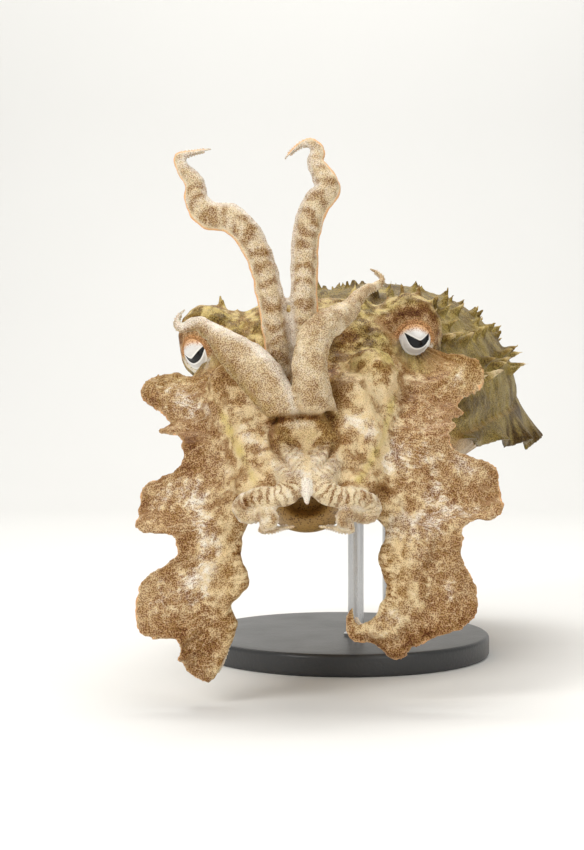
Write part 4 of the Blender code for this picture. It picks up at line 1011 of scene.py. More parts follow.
# The left arm of the third pair from the midline; the right one mirrors it
ARM_3 = [(6.6, -116, 79), (6.3, -124.5, 78), (5.4, -130.5, 76), (4.4, -134, 72.6), (5.2, -136, 68.2),
         (9.3, -136.5, 66.3), (14.0, -136, 66.0), (18.2, -134.5, 65.0), (20.4, -132.5, 62.4),
         (19.0, -132, 60.0), (16.0, -134, 59.9), (13.0, -137.5, 61.2), (10.2, -139, 60.6),
         (10.0, -139, 58.6), (12.6, -137.5, 57.4), (14.2, -136, 56.2), (11.0, -136, 55.7),
         (7.0, -136.5, 56.8), (3.4, -136.5, 57.0)]
ARM_3_WIDTHS = [(0, 2.8, 3.0), (0.10, 3.2, 3.4), (0.18, 4.4, 4.2), (0.26, 5.0, 4.6), (0.34, 4.0, 3.6),
                (0.44, 3.2, 3.0), (0.54, 3.0, 2.8), (0.60, 2.4, 2.4), (0.66, 1.8, 1.8), (0.72, 1.6, 1.6),
                (0.80, 1.4, 1.4), (0.90, 1.0, 1.0), (0.96, 0.8, 0.8), (1, 0.5, 0.5)]
ARM_3_THICK = [(0, 4.2), (0.3, 3.8), (0.5, 3.0), (0.62, 2.2), (0.75, 1.6), (0.9, 1.0), (1, 0.5)]
# The broad fourth pair, as pairs of points on the inner and the outer edge
ARM_4_RIGHT = [
    ((-33, -98, 103.0), (-56, -95, 103.5)), ((-31, -110, 94.5), (-61, -105, 93)),
    ((-24, -118, 84), (-54.5, -113, 81)), ((-22.5, -122.5, 73.5), (-56, -118, 70)),
    ((-28, -124, 64), (-57, -122, 60)), ((-35, -124, 55), (-56, -124, 50)),
    ((-35.5, -125, 46.5), (-56.5, -125, 41.5)), ((-33.5, -125, 38), (-57, -125, 30)),
    ((-38.5, -124.5, 31), (-55.5, -124, 19.5)), ((-37, -124, 25), (-55, -123, 14)),
    ((-38.5, -123, 17.5), (-52.5, -122, 9.8)), ((-41.5, -122, 11.5), (-50, -121, 7.6)),
    ((-43.5, -121, 8.8), (-48, -121, 7)), ((-45.2, -121, 7.6), (-46.5, -121, 7)),
]
ARM_4_LEFT = [
    ((-1.5, -98, 97.0), (28.5, -94, 108.4)), ((-3, -110, 96), (31.5, -104, 97.5)),
    ((-7, -118, 85), (29.5, -113, 83)), ((-8.5, -122.5, 74), (33.5, -118, 74)),
    ((-2.5, -124, 65), (34, -122, 61.5)), ((8.5, -124, 55.5), (33, -124, 51)),
    ((7, -125, 45.5), (31, -125, 40)), ((9.5, -125, 37), (29.5, -125, 30)),
    ((7.5, -125, 32), (21, -124.5, 24.5)), ((6, -125, 28.2), (12, -124, 14)),
    ((3, -124.5, 27.2), (4.5, -124, 19)), ((1.2, -124, 26.6), (-1.5, -123, 19.5)),
    ((0.6, -123, 27.6), (-3.6, -122, 24.5)), ((0, -122, 29), (-2.6, -121, 28.5)),
    ((-0.6, -121, 30.4), (-1.6, -121, 30.6)),
]
ARM_4_CORE = [(0, 9, 11), (0.2, 9, 10), (0.4, 8.5, 8.5), (0.6, 8, 7.5), (0.75, 6.5, 6), (0.88, 3.5, 3.4),
              (1, 0.5, 0.8)]
ARM_4_THICK = [(0, 3.2), (0.15, 4.4), (0.4, 4.0), (0.65, 3.0), (0.8, 2.3), (0.92, 1.4), (1, 0.5)]
# Lobes of the outer edge: share of the arm's length, reach, half breadth and squareness
ARM_4_RIGHT_LOBES = [(0.060, 10.2, 0.058, 3), (0.200, 6.0, 0.018, 2), (0.432, 12.2, 0.085, 8),
                     (0.690, 12.0, 0.082, 6), (0.930, 2.4, 0.050, 4)]
ARM_4_LEFT_LOBES = [(0.052, 12.8, 0.047, 4), (0.125, 2.4, 0.030, 4), (0.160, 5.0, 0.016, 2),
                    (0.205, 2.5, 0.018, 3), (0.380, 12.2, 0.088, 8), (0.690, 7.4, 0.100, 4)]

arms = {}
for name, path, turn in (("arm_1_right", ARM_1_RIGHT, -1), ("arm_1_left", ARM_1_LEFT, 1)):
    arms[name] = Arm(*round_arm(path, ARM_1_WIDTHS, turn), core_of(ARM_1_WIDTHS), ARM_1_THICK, 1.25)
for name, path, widths, turn in (("arm_2_right", ARM_2_RIGHT, ARM_2_RIGHT_WIDTHS, -1),
                                 ("arm_2_left", ARM_2_LEFT, ARM_2_LEFT_WIDTHS, 1)):
    arms[name] = Arm(*round_arm(path, widths, turn), core_of(widths), ARM_2_THICK, 1.2)
for name, side in (("arm_3_right", -1), ("arm_3_left", 1)):
    path = [(MIDLINE + side * x, y, z) for x, y, z in ARM_3]
    arms[name] = Arm(*round_arm(path, ARM_3_WIDTHS, -side), core_of(ARM_3_WIDTHS), ARM_3_THICK, 1.1)
for name, pairs, lobes, phase in (("arm_4_right", ARM_4_RIGHT, ARM_4_RIGHT_LOBES, 0.1),
                                  ("arm_4_left", ARM_4_LEFT, ARM_4_LEFT_LOBES, 0.3)):
    arms[name] = Arm(*broad_arm(pairs), ARM_4_CORE, ARM_4_THICK, 1.35, lobes, (5.0, 4.0, phase))

TENTACLE_PATH = [(MIDLINE, -122, 80.5), (MIDLINE, -129, 79.0), (MIDLINE, -135.5, 74.5), (MIDLINE, -139, 69.5),
                 (MIDLINE, -138.6, 63.5)]
TENTACLE_RADII = [(0, 0.8), (0.25, 0.8), (0.5, 0.85), (0.8, 1.0), (0.94, 1.2), (1, 0.9)]

# Every form hands its points to the samples, with a row of the table for each: its part (arms 0
# to 7, head 8, tentacles 9, eye bulges 10, pads 11), share of an arm's length and width, how far
# the outer and the inner edge are, and 1 on the front or -1 on the back
samples, table = [], []


def stand_for(part, points):
    """Lets the points of a form that isn't an arm stand for its part."""
    samples.append(points)
    table.append(np.tile([part, 0, 0.5, 20, 20, 1], (len(points), 1)))


depths = np.concatenate([np.arange(-60, -123, -1.0), np.arange(-123, -124.6, -0.5)])
head_rings = [neck_ring(5.5, 0.9), neck_ring(2.0, 0.97), neck_ring(-0.5, 1.0), neck_ring(-4.0, 1.02)]
head_rings += [head_ring(y) for y in depths]
forms = [tube(head_rings)]
stand_for(8, np.concatenate(head_rings))
COLUMNS = np.linspace(0, 1, 31)
EDGE_HALF = 0.8
for number, (name, arm) in enumerate(arms.items()):
    shares = np.linspace(0, 1, int(arm.run / 0.9))
    front, back, width = arm.sections(shares, COLUMNS, EDGE_HALF)
    forms.append(sheet(front, back))
    t = np.broadcast_to(shares[:, None], front.shape[:2])
    q = np.broadcast_to(COLUMNS, front.shape[:2])
    to_outer, to_inner = (1 - q) * width[:, None], q * width[:, None]
    for grid, facing in ((front, 1), (back, -1)):
        samples.append(grid.reshape(-1, 3))
        table.append(np.stack([np.full(q.size, number), t.ravel(), q.ravel(), to_outer.ravel(),
                               to_inner.ravel(), np.full(q.size, facing)], axis=1))
shares = np.linspace(0, 1, 60)
centres, tangents, _ = along(TENTACLE_PATH, shares)
radii = through([r[0] for r in TENTACLE_RADII], [r[1] for r in TENTACLE_RADII], shares)
turn = (2 * np.pi * np.arange(24) / 24)[:, None]
aside = np.array([1.0, 0.0, 0.0])
rings = [centre + radius * (np.cos(turn) * aside + np.sin(turn) * np.cross(tangent, aside))
         for centre, tangent, radius in zip(centres, tangents, radii)]
forms.append(tube(rings))
stand_for(9, np.concatenate(rings))

# The bulge of skin round each eye, and the pointed flaps over the brows
EYE_BULGE = (11.8, 12.0, 13.6)
EYE_BULGE_SHIFT = (0.0, 1.0, 1.4)
BROW_FLAPS = [
    ((-51.0, -80.0, 124.0), (-0.5, -0.3, 1.0), 6.0, 1.9), ((-44.0, -77.0, 127.0), (-0.1, 0.2, 1.0), 8.0, 2.2),
    ((-38.5, -79.0, 126.5), (0.0, -0.2, 1.0), 6.0, 1.8), ((1.5, -76.0, 131.0), (0.0, 0.1, 1.0), 8.5, 2.2),
    ((12.5, -79.0, 130.0), (-0.1, 0.0, 1.0), 5.5, 1.9), ((17.5, -77.0, 130.5), (0.0, 0.2, 1.0), 9.5, 2.4),
    ((22.5, -78.5, 129.5), (0.15, 0.1, 1.0), 9.0, 2.2), ((26.0, -80.0, 127.5), (0.5, 0.0, 1.0), 7.0, 2.4),
]
for centre, *_ in EYES.values():
    forms.append(ball_form(centre + EYE_BULGE_SHIFT, EYE_BULGE))
    stand_for(10, forms[-1][0])
# Pads of flesh that carry the skin from under each eye down to the broad arms, from the second
# arms down to the face, and from the third arms out to the broad ones
PADS = [
    ((23.0, -93.0, 99.0), (11.0, 8.5, 8.5)), ((-48.0, -93.0, 95.5), (10.0, 8.5, 8.5)),
    ((-33.0, -112.0, 94.5), (10.0, 7.0, 8.0)), ((-38.5, -108.0, 100.5), (9.0, 7.0, 8.0)),
    ((-25.0, -114.5, 91.0), (8.0, 7.0, 6.5)), ((-1.5, -114.5, 95.5), (9.0, 8.0, 9.0)),
    ((5.5, -109.0, 103.0), (9.0, 8.0, 10.0)), ((-31.0, -119.0, 82.0), (9.0, 6.0, 9.0)),
    ((0.5, -119.0, 83.5), (9.0, 6.0, 9.5)), ((-27.5, -122.5, 74.5), (8.0, 6.0, 7.5)),
    ((-3.0, -122.5, 75.0), (8.0, 6.0, 7.5)), ((MIDLINE, -121.0, 75.0), (6.0, 8.0, 6.0)),
    ((-29.0, -127.0, 69.5), (9.0, 6.0, 5.0)), ((-1.8, -127.0, 69.5), (9.0, 6.0, 5.0)),
]
for centre, radii in PADS:
    forms.append(ball_form(centre, radii))
    stand_for(11, forms[-1][0])
forms.append(papillae("brow_flaps", *(np.array([f[k] for f in BROW_FLAPS]) for k in range(4))))
# Small warts and points of skin scattered over the top of the head
draw = random.Random(5)
warts = [[], [], [], []]
while len(warts[0]) < 90:
    depth = draw.uniform(-104, -66)
    ring = head_ring(depth)
    j = draw.randrange(4, 76)
    ahead = head_ring(depth - 1)
    way = unit(np.cross(ring[j + 1] - ring[j - 1], ahead[j] - ring[j]))
    way = way if way @ (ring[j] - ring.mean(0)) > 0 else -way
    lean, length, radius = way + UP * draw.uniform(0, 0.6), draw.uniform(1.2, 3.4), draw.uniform(1.0, 2.0)
    for values, value in zip(warts, (ring[j], lean, length, radius)):
        values.append(value)
forms.append(papillae("head_warts", *(np.array(values) for values in warts)))
samples, table = np.concatenate(samples), np.concatenate(table)

flesh = one_skin("head_and_arms", forms, HEAD_VOXEL, 2)
spots, normals = spots_of(flesh.data)
number, t, q, to_outer, to_inner, facing = table[nearest(samples, spots)[0]].T

edges = np.empty(len(flesh.data.edges) * 2, int)
flesh.data.edges.foreach_get("vertices", edges)
edges = edges.reshape(-1, 2)
crowd = np.bincount(edges.ravel(), minlength=len(spots))


def softened(values, rounds):
    """The values blurred over the skin, so that nothing on it starts at a hard line."""
    for _ in range(rounds):
        total = np.bincount(edges[:, 0], values[edges[:, 1]], len(values))
        total += np.bincount(edges[:, 1], values[edges[:, 0]], len(values))
        values = 0.5 * values + 0.5 * total / crowd
    return values


def settled(spots, weight, rounds):
    """The points drawn towards their neighbours where the weight is, which fills creases softly."""
    for _ in range(rounds):
        total = np.zeros_like(spots)
        for axis in range(3):
            total[:, axis] = (np.bincount(edges[:, 0], spots[edges[:, 1], axis], len(spots))
                              + np.bincount(edges[:, 1], spots[edges[:, 0], axis], len(spots)))
        spots = spots + (total / crowd[:, None] - spots) * (0.6 * weight)[:, None]
    return spots


# The arms flow into the head and into each other: the joins between them are drawn out soft
joined = ((number >= 2) & (t < 0.5)) | (number == 8) | (number > 9)
first, second = number[edges[:, 0]], number[edges[:, 1]]
border = (first != second) & joined[edges[:, 0]] & joined[edges[:, 1]]
lesser, greater = np.minimum(first, second), np.maximum(first, second)
border &= ~((lesser < 4) & ((greater < 6) | (spots[edges[:, 0], 2] < 94)))
touched = np.zeros(len(spots))
touched[edges[border].ravel()] = 1.0
touched = np.clip(softened(touched, 16) * 7.0, 0, 1) * ease(spots[:, 2], 63, 68)
kept = (number == 9) | (((number == 2) | (number == 3)) & (spots[:, 2] < 96))
touched *= 1 - np.clip(softened(kept.astype(float), 7) * 4.0, 0, 1)
spots = settled(spots, touched, 70)

# The bowl of skin round the mouth is smooth
x, y, z = spots.T
bowl = (number > 3) & (number != 9) & (y < -112) & (facing > 0)
bowl = softened(bowl * ease(abs(x - MIDLINE), 13, 10) * ease(z, 72, 75) * ease(z, 91, 89), 3)
spots = settled(spots, bowl, 60)

# The face falls back round each eye, so that nothing stands before it
rooted = (number == 7) & (t < 0.04)
of_head = ease(softened(((number >= 8) | rooted).astype(float), 4), 0.4, 0.9)
for centre, gaze, *_ in EYES.values():
    place = spots - centre
    ahead = place @ gaze
    aside = np.linalg.norm(place - ahead[:, None] * gaze, axis=1)
    limit = 8.3 + 0.3 * np.clip(aside - 5.5, 0, 2.5) + 4.2 * np.clip(aside - 8.0, 0, None)
    over = np.clip(ahead - limit, 0, None) * (aside < 15) * of_head
    spots = spots - over[:, None] * gaze
    wall = ease(aside, 17, 12) * ease(aside, 7, 9) * (ahead > 4) * (ahead < 24) * (number > 5)
    spots = settled(spots, wall, 12)

# The lids: skin is pushed in over the eyeball inside the opening, with a rounded rim round it
LID_OPENING = (5.3, 5.2)
LID_RIM = 0.8
round_eye = np.full(len(spots), 99.0)
eye_side, eye_up = np.zeros(len(spots)), np.zeros(len(spots))
for centre, gaze, outer_side, *_ in EYES.values():
    outward, above = eye_frame(gaze, outer_side)
    place = spots - centre
    distance = np.linalg.norm(place, axis=1)
    a, b, c = (EYE_RADIUS * (place @ way) / distance for way in (outward, above, gaze))
    ring = np.sqrt((a / LID_OPENING[0]) ** 2 + (b / LID_OPENING[1]) ** 2)
    near = (c > 0) & (distance < 18)
    upper_lid = ease(b, -1.0, 3.0)
    target = EYE_RADIUS - 0.9 + (LID_RIM * (1 - 0.5 * upper_lid) + 0.9) * ease(ring, 0.94, 1.14)
    hold = near * (1 - ease(ring, 1.14, 1.75))
    wanted = distance + (target - distance) * hold
    spots = centre + place * (wanted / distance)[:, None]
    nearer = near & (ring < 4)
    round_eye = np.where(nearer, np.minimum(round_eye, ring), round_eye)
    eye_up = np.where(nearer, b, eye_up)
    eye_side = np.where(nearer, a, eye_side)

# Creases, as the points that they pass: on both sides of the tan patch, and under the second arms. Each has
# the brush's radius, how deep it is cut and how dark its painted shade is.
CREASES = [
    ([(-26.5, 88.4), (-26.1, 82.5), (-23.4, 77.3), (-20.2, 75.0)], (1.0, 2.0, 0.8)),
    ([(-8.2, 91.2), (-6.6, 87.3), (-6.0, 82.7), (-8.3, 77.9), (-11.5, 75.8)], (1.0, 2.0, 0.8)),
    ([(-27.0, 88.8), (-22.0, 90.0), (-17.5, 90.4), (-12.0, 90.2), (-7.0, 91.0)], (0.8, 1.6, 1.2)),
]


def stroke_gap(spots, stroke):
    """How far each point stands from a stroke in the picture plane, in mm."""
    gap = np.full(len(spots), 99.0)
    for start, end in zip(stroke[:-1], stroke[1:]):
        start, run = np.array(start), np.array(end) - np.array(start)
        flat = spots[:, [0, 2]] - start
        share = np.clip(flat @ run / (run @ run), 0, 1)
        gap = np.minimum(gap, np.linalg.norm(flat - share[:, None] * run, axis=1))
    return gap


# The relief: lumps and warts on the head, fine folds across the third arms, crinkles in the
# broad arms that fan out to their edges, and creases round the mouth
x, y, z = spots.T
on_arm = number < 8
arm_1, arm_2, arm_3, arm_4 = ((number == k) | (number == k + 1) for k in (0, 2, 4, 6))
from_mouth = np.hypot(x - MIDLINE, z - 90.0)
round_mouth = np.arctan2(z - 90.0, x - MIDLINE)
fan = lumps(np.stack([round_mouth * 9.0, from_mouth / 14.0, 0 * x], axis=1), 1.0, 5.0)
fan_zone = softened(((number >= 8) | arm_4) * ease(from_mouth, 8, 14) * (1 - ease(from_mouth, 40, 55)), 6)
calm = ease(round_eye, 1.1, 1.8)
on_head = softened((number >= 8).astype(float), 6)
relief = (lumps(spots, 6.5) * 0.9 + lumps(spots, 2.6, 4.0) * 0.45) * on_head * calm
run_of = np.array([arm.run for arm in arms.values()] + [1, 1, 1, 1])[number.astype(int)]
relief += 0.16 * softened(arm_3.astype(float), 3) * np.sin(2 * np.pi * t * run_of / 3.0) * (facing > 0)
arm_soft = softened(arm_4.astype(float), 5)
relief += arm_soft * (lumps(spots, 5.0, 9.0) * 0.7 + lumps(spots, 2.3, 2.0) * 0.45)
to_edge = np.stack([t * run_of / 1.7, to_outer / 9.0, number * 3.0], axis=1)
relief += arm_soft * lumps(to_edge, 1.0) * 0.60 * ease(to_outer, 14, 4)
fine_lumps = lumps(spots, 4.0, 9.0) * 0.38 + lumps(spots, 1.9, 2.0) * 0.20
relief += softened((arm_1 | arm_2).astype(float), 4) * fine_lumps
relief += fan * 0.35 * fan_zone * calm
diamond = abs(x - MIDLINE) / 4.9 + abs(z - 85.2) / 5.4
mouth = ((y < -112) & (abs(x - MIDLINE) < 14) & (number > 3) & (facing > 0)).astype(float)
relief -= softened(mouth * 0.5 * np.exp(-((diamond - 1.15) / 0.16) ** 2), 1)
for stroke, (_, cut, _) in CREASES:
    relief -= cut * np.exp(-stroke_gap(spots, stroke) ** 2) * (facing > 0) * (y < -105) * ~arm_1
ridge = np.exp(-((x - MIDLINE) / 0.9) ** 2) * ease(z, 81, 78) * ease(z, 61, 63)
relief += 1.1 * ridge * (y < -112) * (number > 3) * (number != 9)
spots = spots + normals * relief[:, None]

# Tips grow slimmer than the remeshing leaves them
for index, arm in enumerate(arms.values()):
    mine = (number == index) & (t > 0.8)
    inner, outer, _ = arm.edges(t[mine])
    centre = (inner + outer) / 2
    slim = 1 - 0.5 * ease(t[mine], 0.84, 1.0)
    spots[mine] = centre + (spots[mine] - centre) * slim[:, None]
move_to(flesh.data, spots)

# Where the colour sacs are dense or red, and what lies under them, from the inner edge q = 0 of an arm to its
# outer edge q = 1 and from its root t = 0 to its tip t = 1. In a few places, noted below, the same marks
# carry painted shade and painted highlight.
front_side = softened((facing > 0).astype(float), 2)
drift, drift_fine = lumps(spots, 7.0, 1.0), lumps(spots, 3.0, 6.0)
blob = lumps(spots, 12.0, 8.0)
mottles = ease(lumps(spots, 3.6, 3.0) + 0.6 * lumps(spots, 2.0, 9.0), -0.18, 0.22) - 0.5
bars = ease(np.sin(2 * np.pi * (t * run_of / 5.6 + 0.7 * drift + 0.12 * q)) + 1.5 * drift_fine, -0.2, 0.5)
broad_bars = ease(np.sin(2 * np.pi * (t * run_of / 4.4 + 0.4 * drift)) + 1.2 * drift_fine, -0.1, 0.6)
head_part = number >= 8
low_face = ease(z, 112, 98) * (y < -95)

ink = np.zeros(len(spots))
barred = bars * ease(q, 0.05, 0.20) * ease(q, 0.98, 0.75) * (1 - 0.6 * ease(t, 0.74, 0.84))
ink[arm_1] = (0.28 + 0.60 * barred)[arm_1]
# On the right second arm the dots grow denser towards its lower side: painted shadow.
ink[arm_2] = (0.44 + 0.22 * drift + 0.12 * mottles + 0.30 * ease(q, 0.45, 0.8) * (number == 2))[arm_2]
ink[number == 3] += (0.20 * mottles)[number == 3]
ink[arm_3] = (0.26 + 0.40 * mottles + 0.30 * ease(t, 0.4, 0.5) * ease(abs(q - 0.5), 0.42, 0.15))[arm_3]
ink[arm_4] = (0.40 + 0.42 * ease(q, 0.2, 0.55) + 0.15 * ease(to_outer, 9, 2)
              + 0.36 * broad_bars * ease(q, 0.3, 0.1) + 0.40 * blob
              + 0.55 * mottles * (1 - 0.5 * ease(q, 0.4, 0.8)))[arm_4]
ink[head_part] = (0.66 - 0.20 * low_face + 0.25 * blob + (0.80 - 0.15 * low_face) * mottles)[head_part]
ink[number == 9] = 0.05
red = np.where(arm_4, 0.2 + 0.8 * ease(q, 0.1, 0.6) * ease(t, 0.02, 0.14), 0.15)
red += 0.3 * blob + 0.3 * low_face * head_part
red[arm_3] = 0.5
gold = np.where(head_part, 0.60 - 0.60 * low_face + 0.3 * drift, 0.05)
gold[arm_4] = (0.05 + 0.15 * drift + 0.3 * ease(t, 0.14, 0.02))[arm_4]
# On the right second arm the lower side turns olive as part of its painted shadow.
gold[arm_2] = (0.15 + 0.35 * ease(q, 0.55, 0.95) * (number == 2))[arm_2]
pale = np.where(arm_1 | arm_2, 0.9, np.where(arm_3, 0.8, 0.50)) + 0.2 * drift_fine
white = np.where(arm_1, 0.45 * ease(to_inner, 1.7, 0.7) + 0.40, 0.0)
white[arm_3] = (0.30 + 0.3 * ease(t, 0.4, 0.5) * ease(abs(q - 0.5), 0.30, 0.45))[arm_3]
# Along the upper edge of the right second arm the skin turns white and the dots thin out: a painted
# highlight.
white[arm_2] = (0.35 + 0.55 * ease(to_inner, 4.5, 1.0) * (number == 2))[arm_2]
ink[number == 2] -= (0.25 * ease(to_inner, 4.5, 1.0))[number == 2]
white[arm_4] += (0.50 * ease(-blob, 0.0, 0.4) * ease(to_outer, 4, 9))[arm_4]
white[number == 9] = 0.15 + 0.85 * ease(z, 76, 70)[number == 9]
patchy = np.where(arm_4, 0.80 - 0.30 * ease(to_outer, 8, 2), np.where(head_part, 0.84, 0.35))
lined = np.where(arm_4, ease(to_outer, 1.5, 4.5) * ease(q, 0.25, 0.45), 0.0)
striped = np.where(arm_3, 0.85 * ease(t, 0.60, 0.40) + 0.2, np.where(arm_4, 0.5 * ease(q, 0.2, 0.05), 0.0))
ink += fan * 0.20 * fan_zone

# Marks laid on the front of the face as strokes of a soft brush: what they change, the points (x, z) that
# they pass, the brush's radius and how strongly it lays on
BRUSH = [
    # The stroke from (-7.0, 113.0) to (-7.5, 105.0) is painted shadow beside the left second arm.
    ("ink", [(-3.0, 117.5), (5.0, 118.5)], 3.4, 0.45), ("ink", [(-7.0, 113.0), (-7.5, 105.0)], 2.6, 0.40),
    ("ink", [(-46.0, 107.0), (-40.0, 101.0)], 4.0, 0.32), ("ink", [(10.0, 106.0), (16.0, 98.0)], 4.0, 0.18),
    ("ink", [(22.0, 104.0), (26.0, 96.0)], 3.0, 0.18), ("ink", [(6.0, 69.6), (9.0, 68.0)], 2.0, 0.50),
    ("ink", [(-39.0, 65.5), (-35.0, 64.0)], 1.8, 0.35), ("ink", [(-36.0, 84.5), (-31.5, 81.5)], 4.5, -0.28),
    ("ink", [(-1.0, 90.0), (6.5, 84.5)], 4.2, -0.34), ("ink", [(16.0, 79.0), (25.0, 77.0)], 5.0, -0.25),
    ("ink", [(-1.0, 104.0), (7.0, 95.0)], 4.5, -0.22), ("white", [(-36.0, 84.5), (-31.5, 81.5)], 4.0, 0.55),
    ("white", [(-1.0, 90.0), (6.5, 84.5)], 3.6, 0.60), ("white", [(16.0, 79.0), (25.0, 77.0)], 5.0, 0.40),
]
# The two golden lines that run down the face to the third arms
GOLDEN_LINES = ([(-42.5, 92.0), (-37.6, 82.2), (-31.2, 70.5)], [(12.2, 96.0), (7.9, 82.2), (0.5, 70.5)])
for name, radius, strength in (("gold", 1.6, 0.60), ("ink", 1.9, -0.30), ("white", 2.2, -0.6)):
    BRUSH += [(name, golden, radius, strength) for golden in GOLDEN_LINES]
values_of = {"ink": ink, "red": red, "gold": gold, "pale": pale, "white": white, "patchy": patchy}
seen = (facing > 0) & (y < -95) & ~arm_1 & ~arm_2
for name, stroke, radius, strength in BRUSH:
    gap = stroke_gap(spots, stroke) + 0.25 * radius * drift_fine
    values_of[name] += strength * np.exp(-np.clip(gap, 0, None) ** 2 / radius ** 2) * seen
# Painted shade along each crease: denser, redder dots and no white skin beneath them.
for stroke, (radius, _, depth) in CREASES:
    line = np.exp(-stroke_gap(spots, stroke) ** 2 / radius ** 2) * (facing > 0) * (y < -105) * ~arm_1
    ink += depth * line
    red += 0.5 * line
    white -= line
# Fine pale barbs run up and out from the midline below the tan patch
barbs = (z + 0.9 * abs(x - MIDLINE)) * 0.95
below_patch = ease(diamond, 1.0, 1.25) * ease(z + 0.3 * abs(x - MIDLINE), 84, 80) * ease(z, 70, 74)
below_patch *= ease(abs(x - MIDLINE), 10.5, 7.5) * seen * (number != 9)
white += (0.50 + 0.25 * mottles - white) * below_patch
striped += (0.40 - striped) * below_patch
ink += (0.34 + 0.3 * mottles - ink) * below_patch
# Painted shade in the recess round the tan patch, above the pale barbs: dense olive-brown dots.
painted_recess_shade = ease(diamond, 1.0, 1.2) * (1 - below_patch) * ease(z + 2.5 * drift_fine, 78, 82.5)
painted_recess_shade *= ease(abs(x - MIDLINE) + 2.5 * drift_fine, 13, 9) * mouth
ink += (1.15 - ink) * painted_recess_shade * (0.8 + 0.6 * drift_fine)
gold += (0.5 - gold) * painted_recess_shade
tan = softened((diamond < 1.0) * mouth, 1)
ink += (0.14 - ink) * tan
gold += (0.30 - gold) * tan
white *= 1 - tan
patchy *= 1 - tan
rim = np.where(on_arm & (t < 0.985), ease(to_outer, 1.2, 0.4) * (0.75 + 0.4 * drift_fine), 0.0)
rim = np.where(head_part | arm_2 | arm_3, 0, rim)
lid = ease(round_eye, 1.35, 1.12) * ease(round_eye, 0.98, 1.08)
below_eye = ease(eye_up, 1.0, -2.0)
white = np.maximum(white, 0.9 * lid * below_eye)
ink = ink * (1 - 0.9 * lid * below_eye)
ink -= 0.8 * rim
copper = ease(round_eye, 1.5, 1.2) * (1 - below_eye)
around = ease(round_eye, 1.75, 1.4)
rim = np.maximum(rim, 0.90 * ease(round_eye, 1.42, 1.15) * (1 - below_eye))
red += 0.8 * around * (1 - below_eye)
gold *= 1 - around * (1 - below_eye)
ink += (0.70 - ink) * copper
patchy *= 1 - 0.8 * ease(round_eye, 1.5, 1.2)
ink += 0.45 * ease(round_eye, 1.78, 1.6) * ease(round_eye, 1.25, 1.45) * (1 - below_eye)
lashes = ease(np.sin(2 * np.pi * eye_side / 1.5 + 0.8 * drift_fine), -0.3, 0.6)
ink += (0.65 * lashes - 0.15) * ease(round_eye, 1.95, 1.6) * ease(round_eye, 1.05, 1.25) * below_eye
back_of_arm = on_arm * (1 - front_side) * ease(t, 0.03, 0.08)
ink *= 1 - 0.75 * back_of_arm
pale += 0.5 * back_of_arm
for name, values, rounds in (("ink", ink, 1), ("red", red, 5), ("gold", gold, 3), ("pale", pale, 4),
                             ("white", white, 2), ("rim", rim, 1), ("patchy", patchy, 5), ("lined", lined, 2),
                             ("striped", striped, 2)):
    mark(flesh.data, name, softened(values, rounds))
down_arm = np.where(below_patch > 0.3, barbs, t * run_of + number * 100.0)
for name, values in (("along", down_arm), ("inward", to_outer)):
    carry(flesh.data, name, softened(values, 1))
mark_turn(flesh.data, spots_of(flesh.data)[1])
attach(flesh, "root")
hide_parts("head", "crown", "tentacle_tips",
            *(f"{arm}_{part}" for arm in arms for part in ("base", "tip")))


# Suckers. Small pale cups of stiff flesh on short stalks, in four rows along the inner face of
# every arm, the one that is turned from the viewer, smaller and smaller to the tip.

sucker_skin, w = new_material("sucker_skin")
at = w.place()
grain = w.cloud(at, 700.0, 2.0)
w.finish({"Base Color": (grain + 0.5).between((0.70, 0.57, 0.42), (0.84, 0.75, 0.62)),
          "Roughness": 0.38 + grain * 0.2, "Normal": w.raised(grain, 0.0001),
          "Subsurface Weight": 0.1, "Subsurface Radius": (0.003, 0.0014, 0.0008),
          "Coat Weight": 0.3, "Coat Roughness": 0.2, "IOR": 1.38})
sucker_tree, given = new_tree("suckers", {
    "Sides": ("Int", 8), "Stalk": ("Float", 0.8), "Rim": ("Float", 0.2), "Finish": ("Material", None)})
w = given["Points"]
stalk = w.node("GeometryNodeMeshCone", {"fill_type": "NGON"},
               {"Vertices": given["Sides"], "Side Segments": 1, "Radius Top": 0.86, "Radius Bottom": 0.5,
                "Depth": given["Stalk"]})
circle = "GeometryNodeCurvePrimitiveCircle"
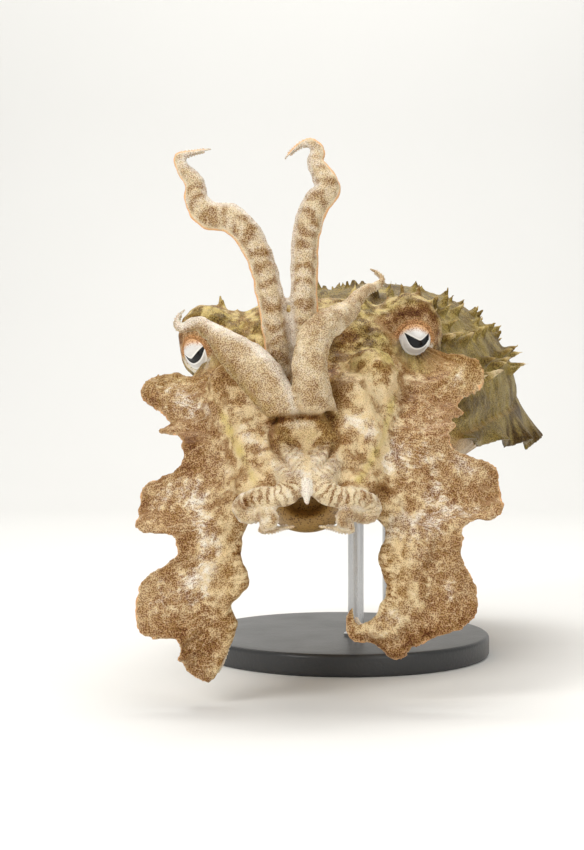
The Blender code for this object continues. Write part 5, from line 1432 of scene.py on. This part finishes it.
ring = w.node(circle, inputs={"Resolution": given["Sides"], "Radius": 0.84}, output="Curve")
section = w.node(circle, inputs={"Resolution": 4, "Radius": given["Rim"]}, output="Curve")
ring = w.node("GeometryNodeCurveToMesh", inputs={"Curve": ring, "Profile Curve": section})
ring = w.node("GeometryNodeTransform", inputs={"Geometry": ring, "Translation": w.node(
    "ShaderNodeCombineXYZ", inputs={2: given["Stalk"] + 0.12})})
join = sucker_tree.nodes.new("GeometryNodeJoinGeometry")
sucker_tree.links.new(stalk.socket, join.inputs[0])
sucker_tree.links.new(ring.socket, join.inputs[0])
facing_way = w.node("FunctionNodeAlignRotationToVector", {"axis": "Z"},
                    {"Vector": carried(w, "facing", "FLOAT_VECTOR")})
stand_on_points(given, Wire(sucker_tree, join.outputs[0]), facing_way, [carried(w, "size")] * 3)

places, facings, sizes = [], [], []
for arm in arms.values():
    share = 0.16
    while share < 0.97:
        radius = arm.suckers * (1 - 0.72 * share)
        middle = float(through(arm.core[:, 0], arm.core[:, 1], [share])[0])
        width = arm.sections([share], [0.0, 1.0], EDGE_HALF)[2][0]
        for row, offset in enumerate((-1.5, -0.5, 0.5, 1.5)):
            here = share + (row % 2) * radius * 1.1 / arm.run
            column = np.clip((middle + offset * radius * 1.9) / width, 0.1, 0.9)
            _, back, _ = arm.sections([here - 0.01, here + 0.01], [column - 0.03, column + 0.03], EDGE_HALF)
            front = arm.edges(np.array([here]))[2][0]
            way = unit(np.cross(back[1, 0] - back[0, 0], back[0, 1] - back[0, 0]))
            way = way if way @ front < 0 else -way
            places.append(back.mean(axis=(0, 1)) - way * radius * 0.25)
            facings.append(way)
            sizes.append(radius * MM * (0.85 if row in (0, 3) else 1.0))
        share += radius * 2.3 / arm.run
cup_mesh = grown(sucker_tree, "sucker_places", places, {"facing": facings, "size": sizes},
                 {"Finish": sucker_skin})
cups = bpy.data.objects.new("suckers", cup_mesh)
cups.data.shade_smooth()
bpy.context.scene.collection.objects.link(cups)
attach(cups, "root")
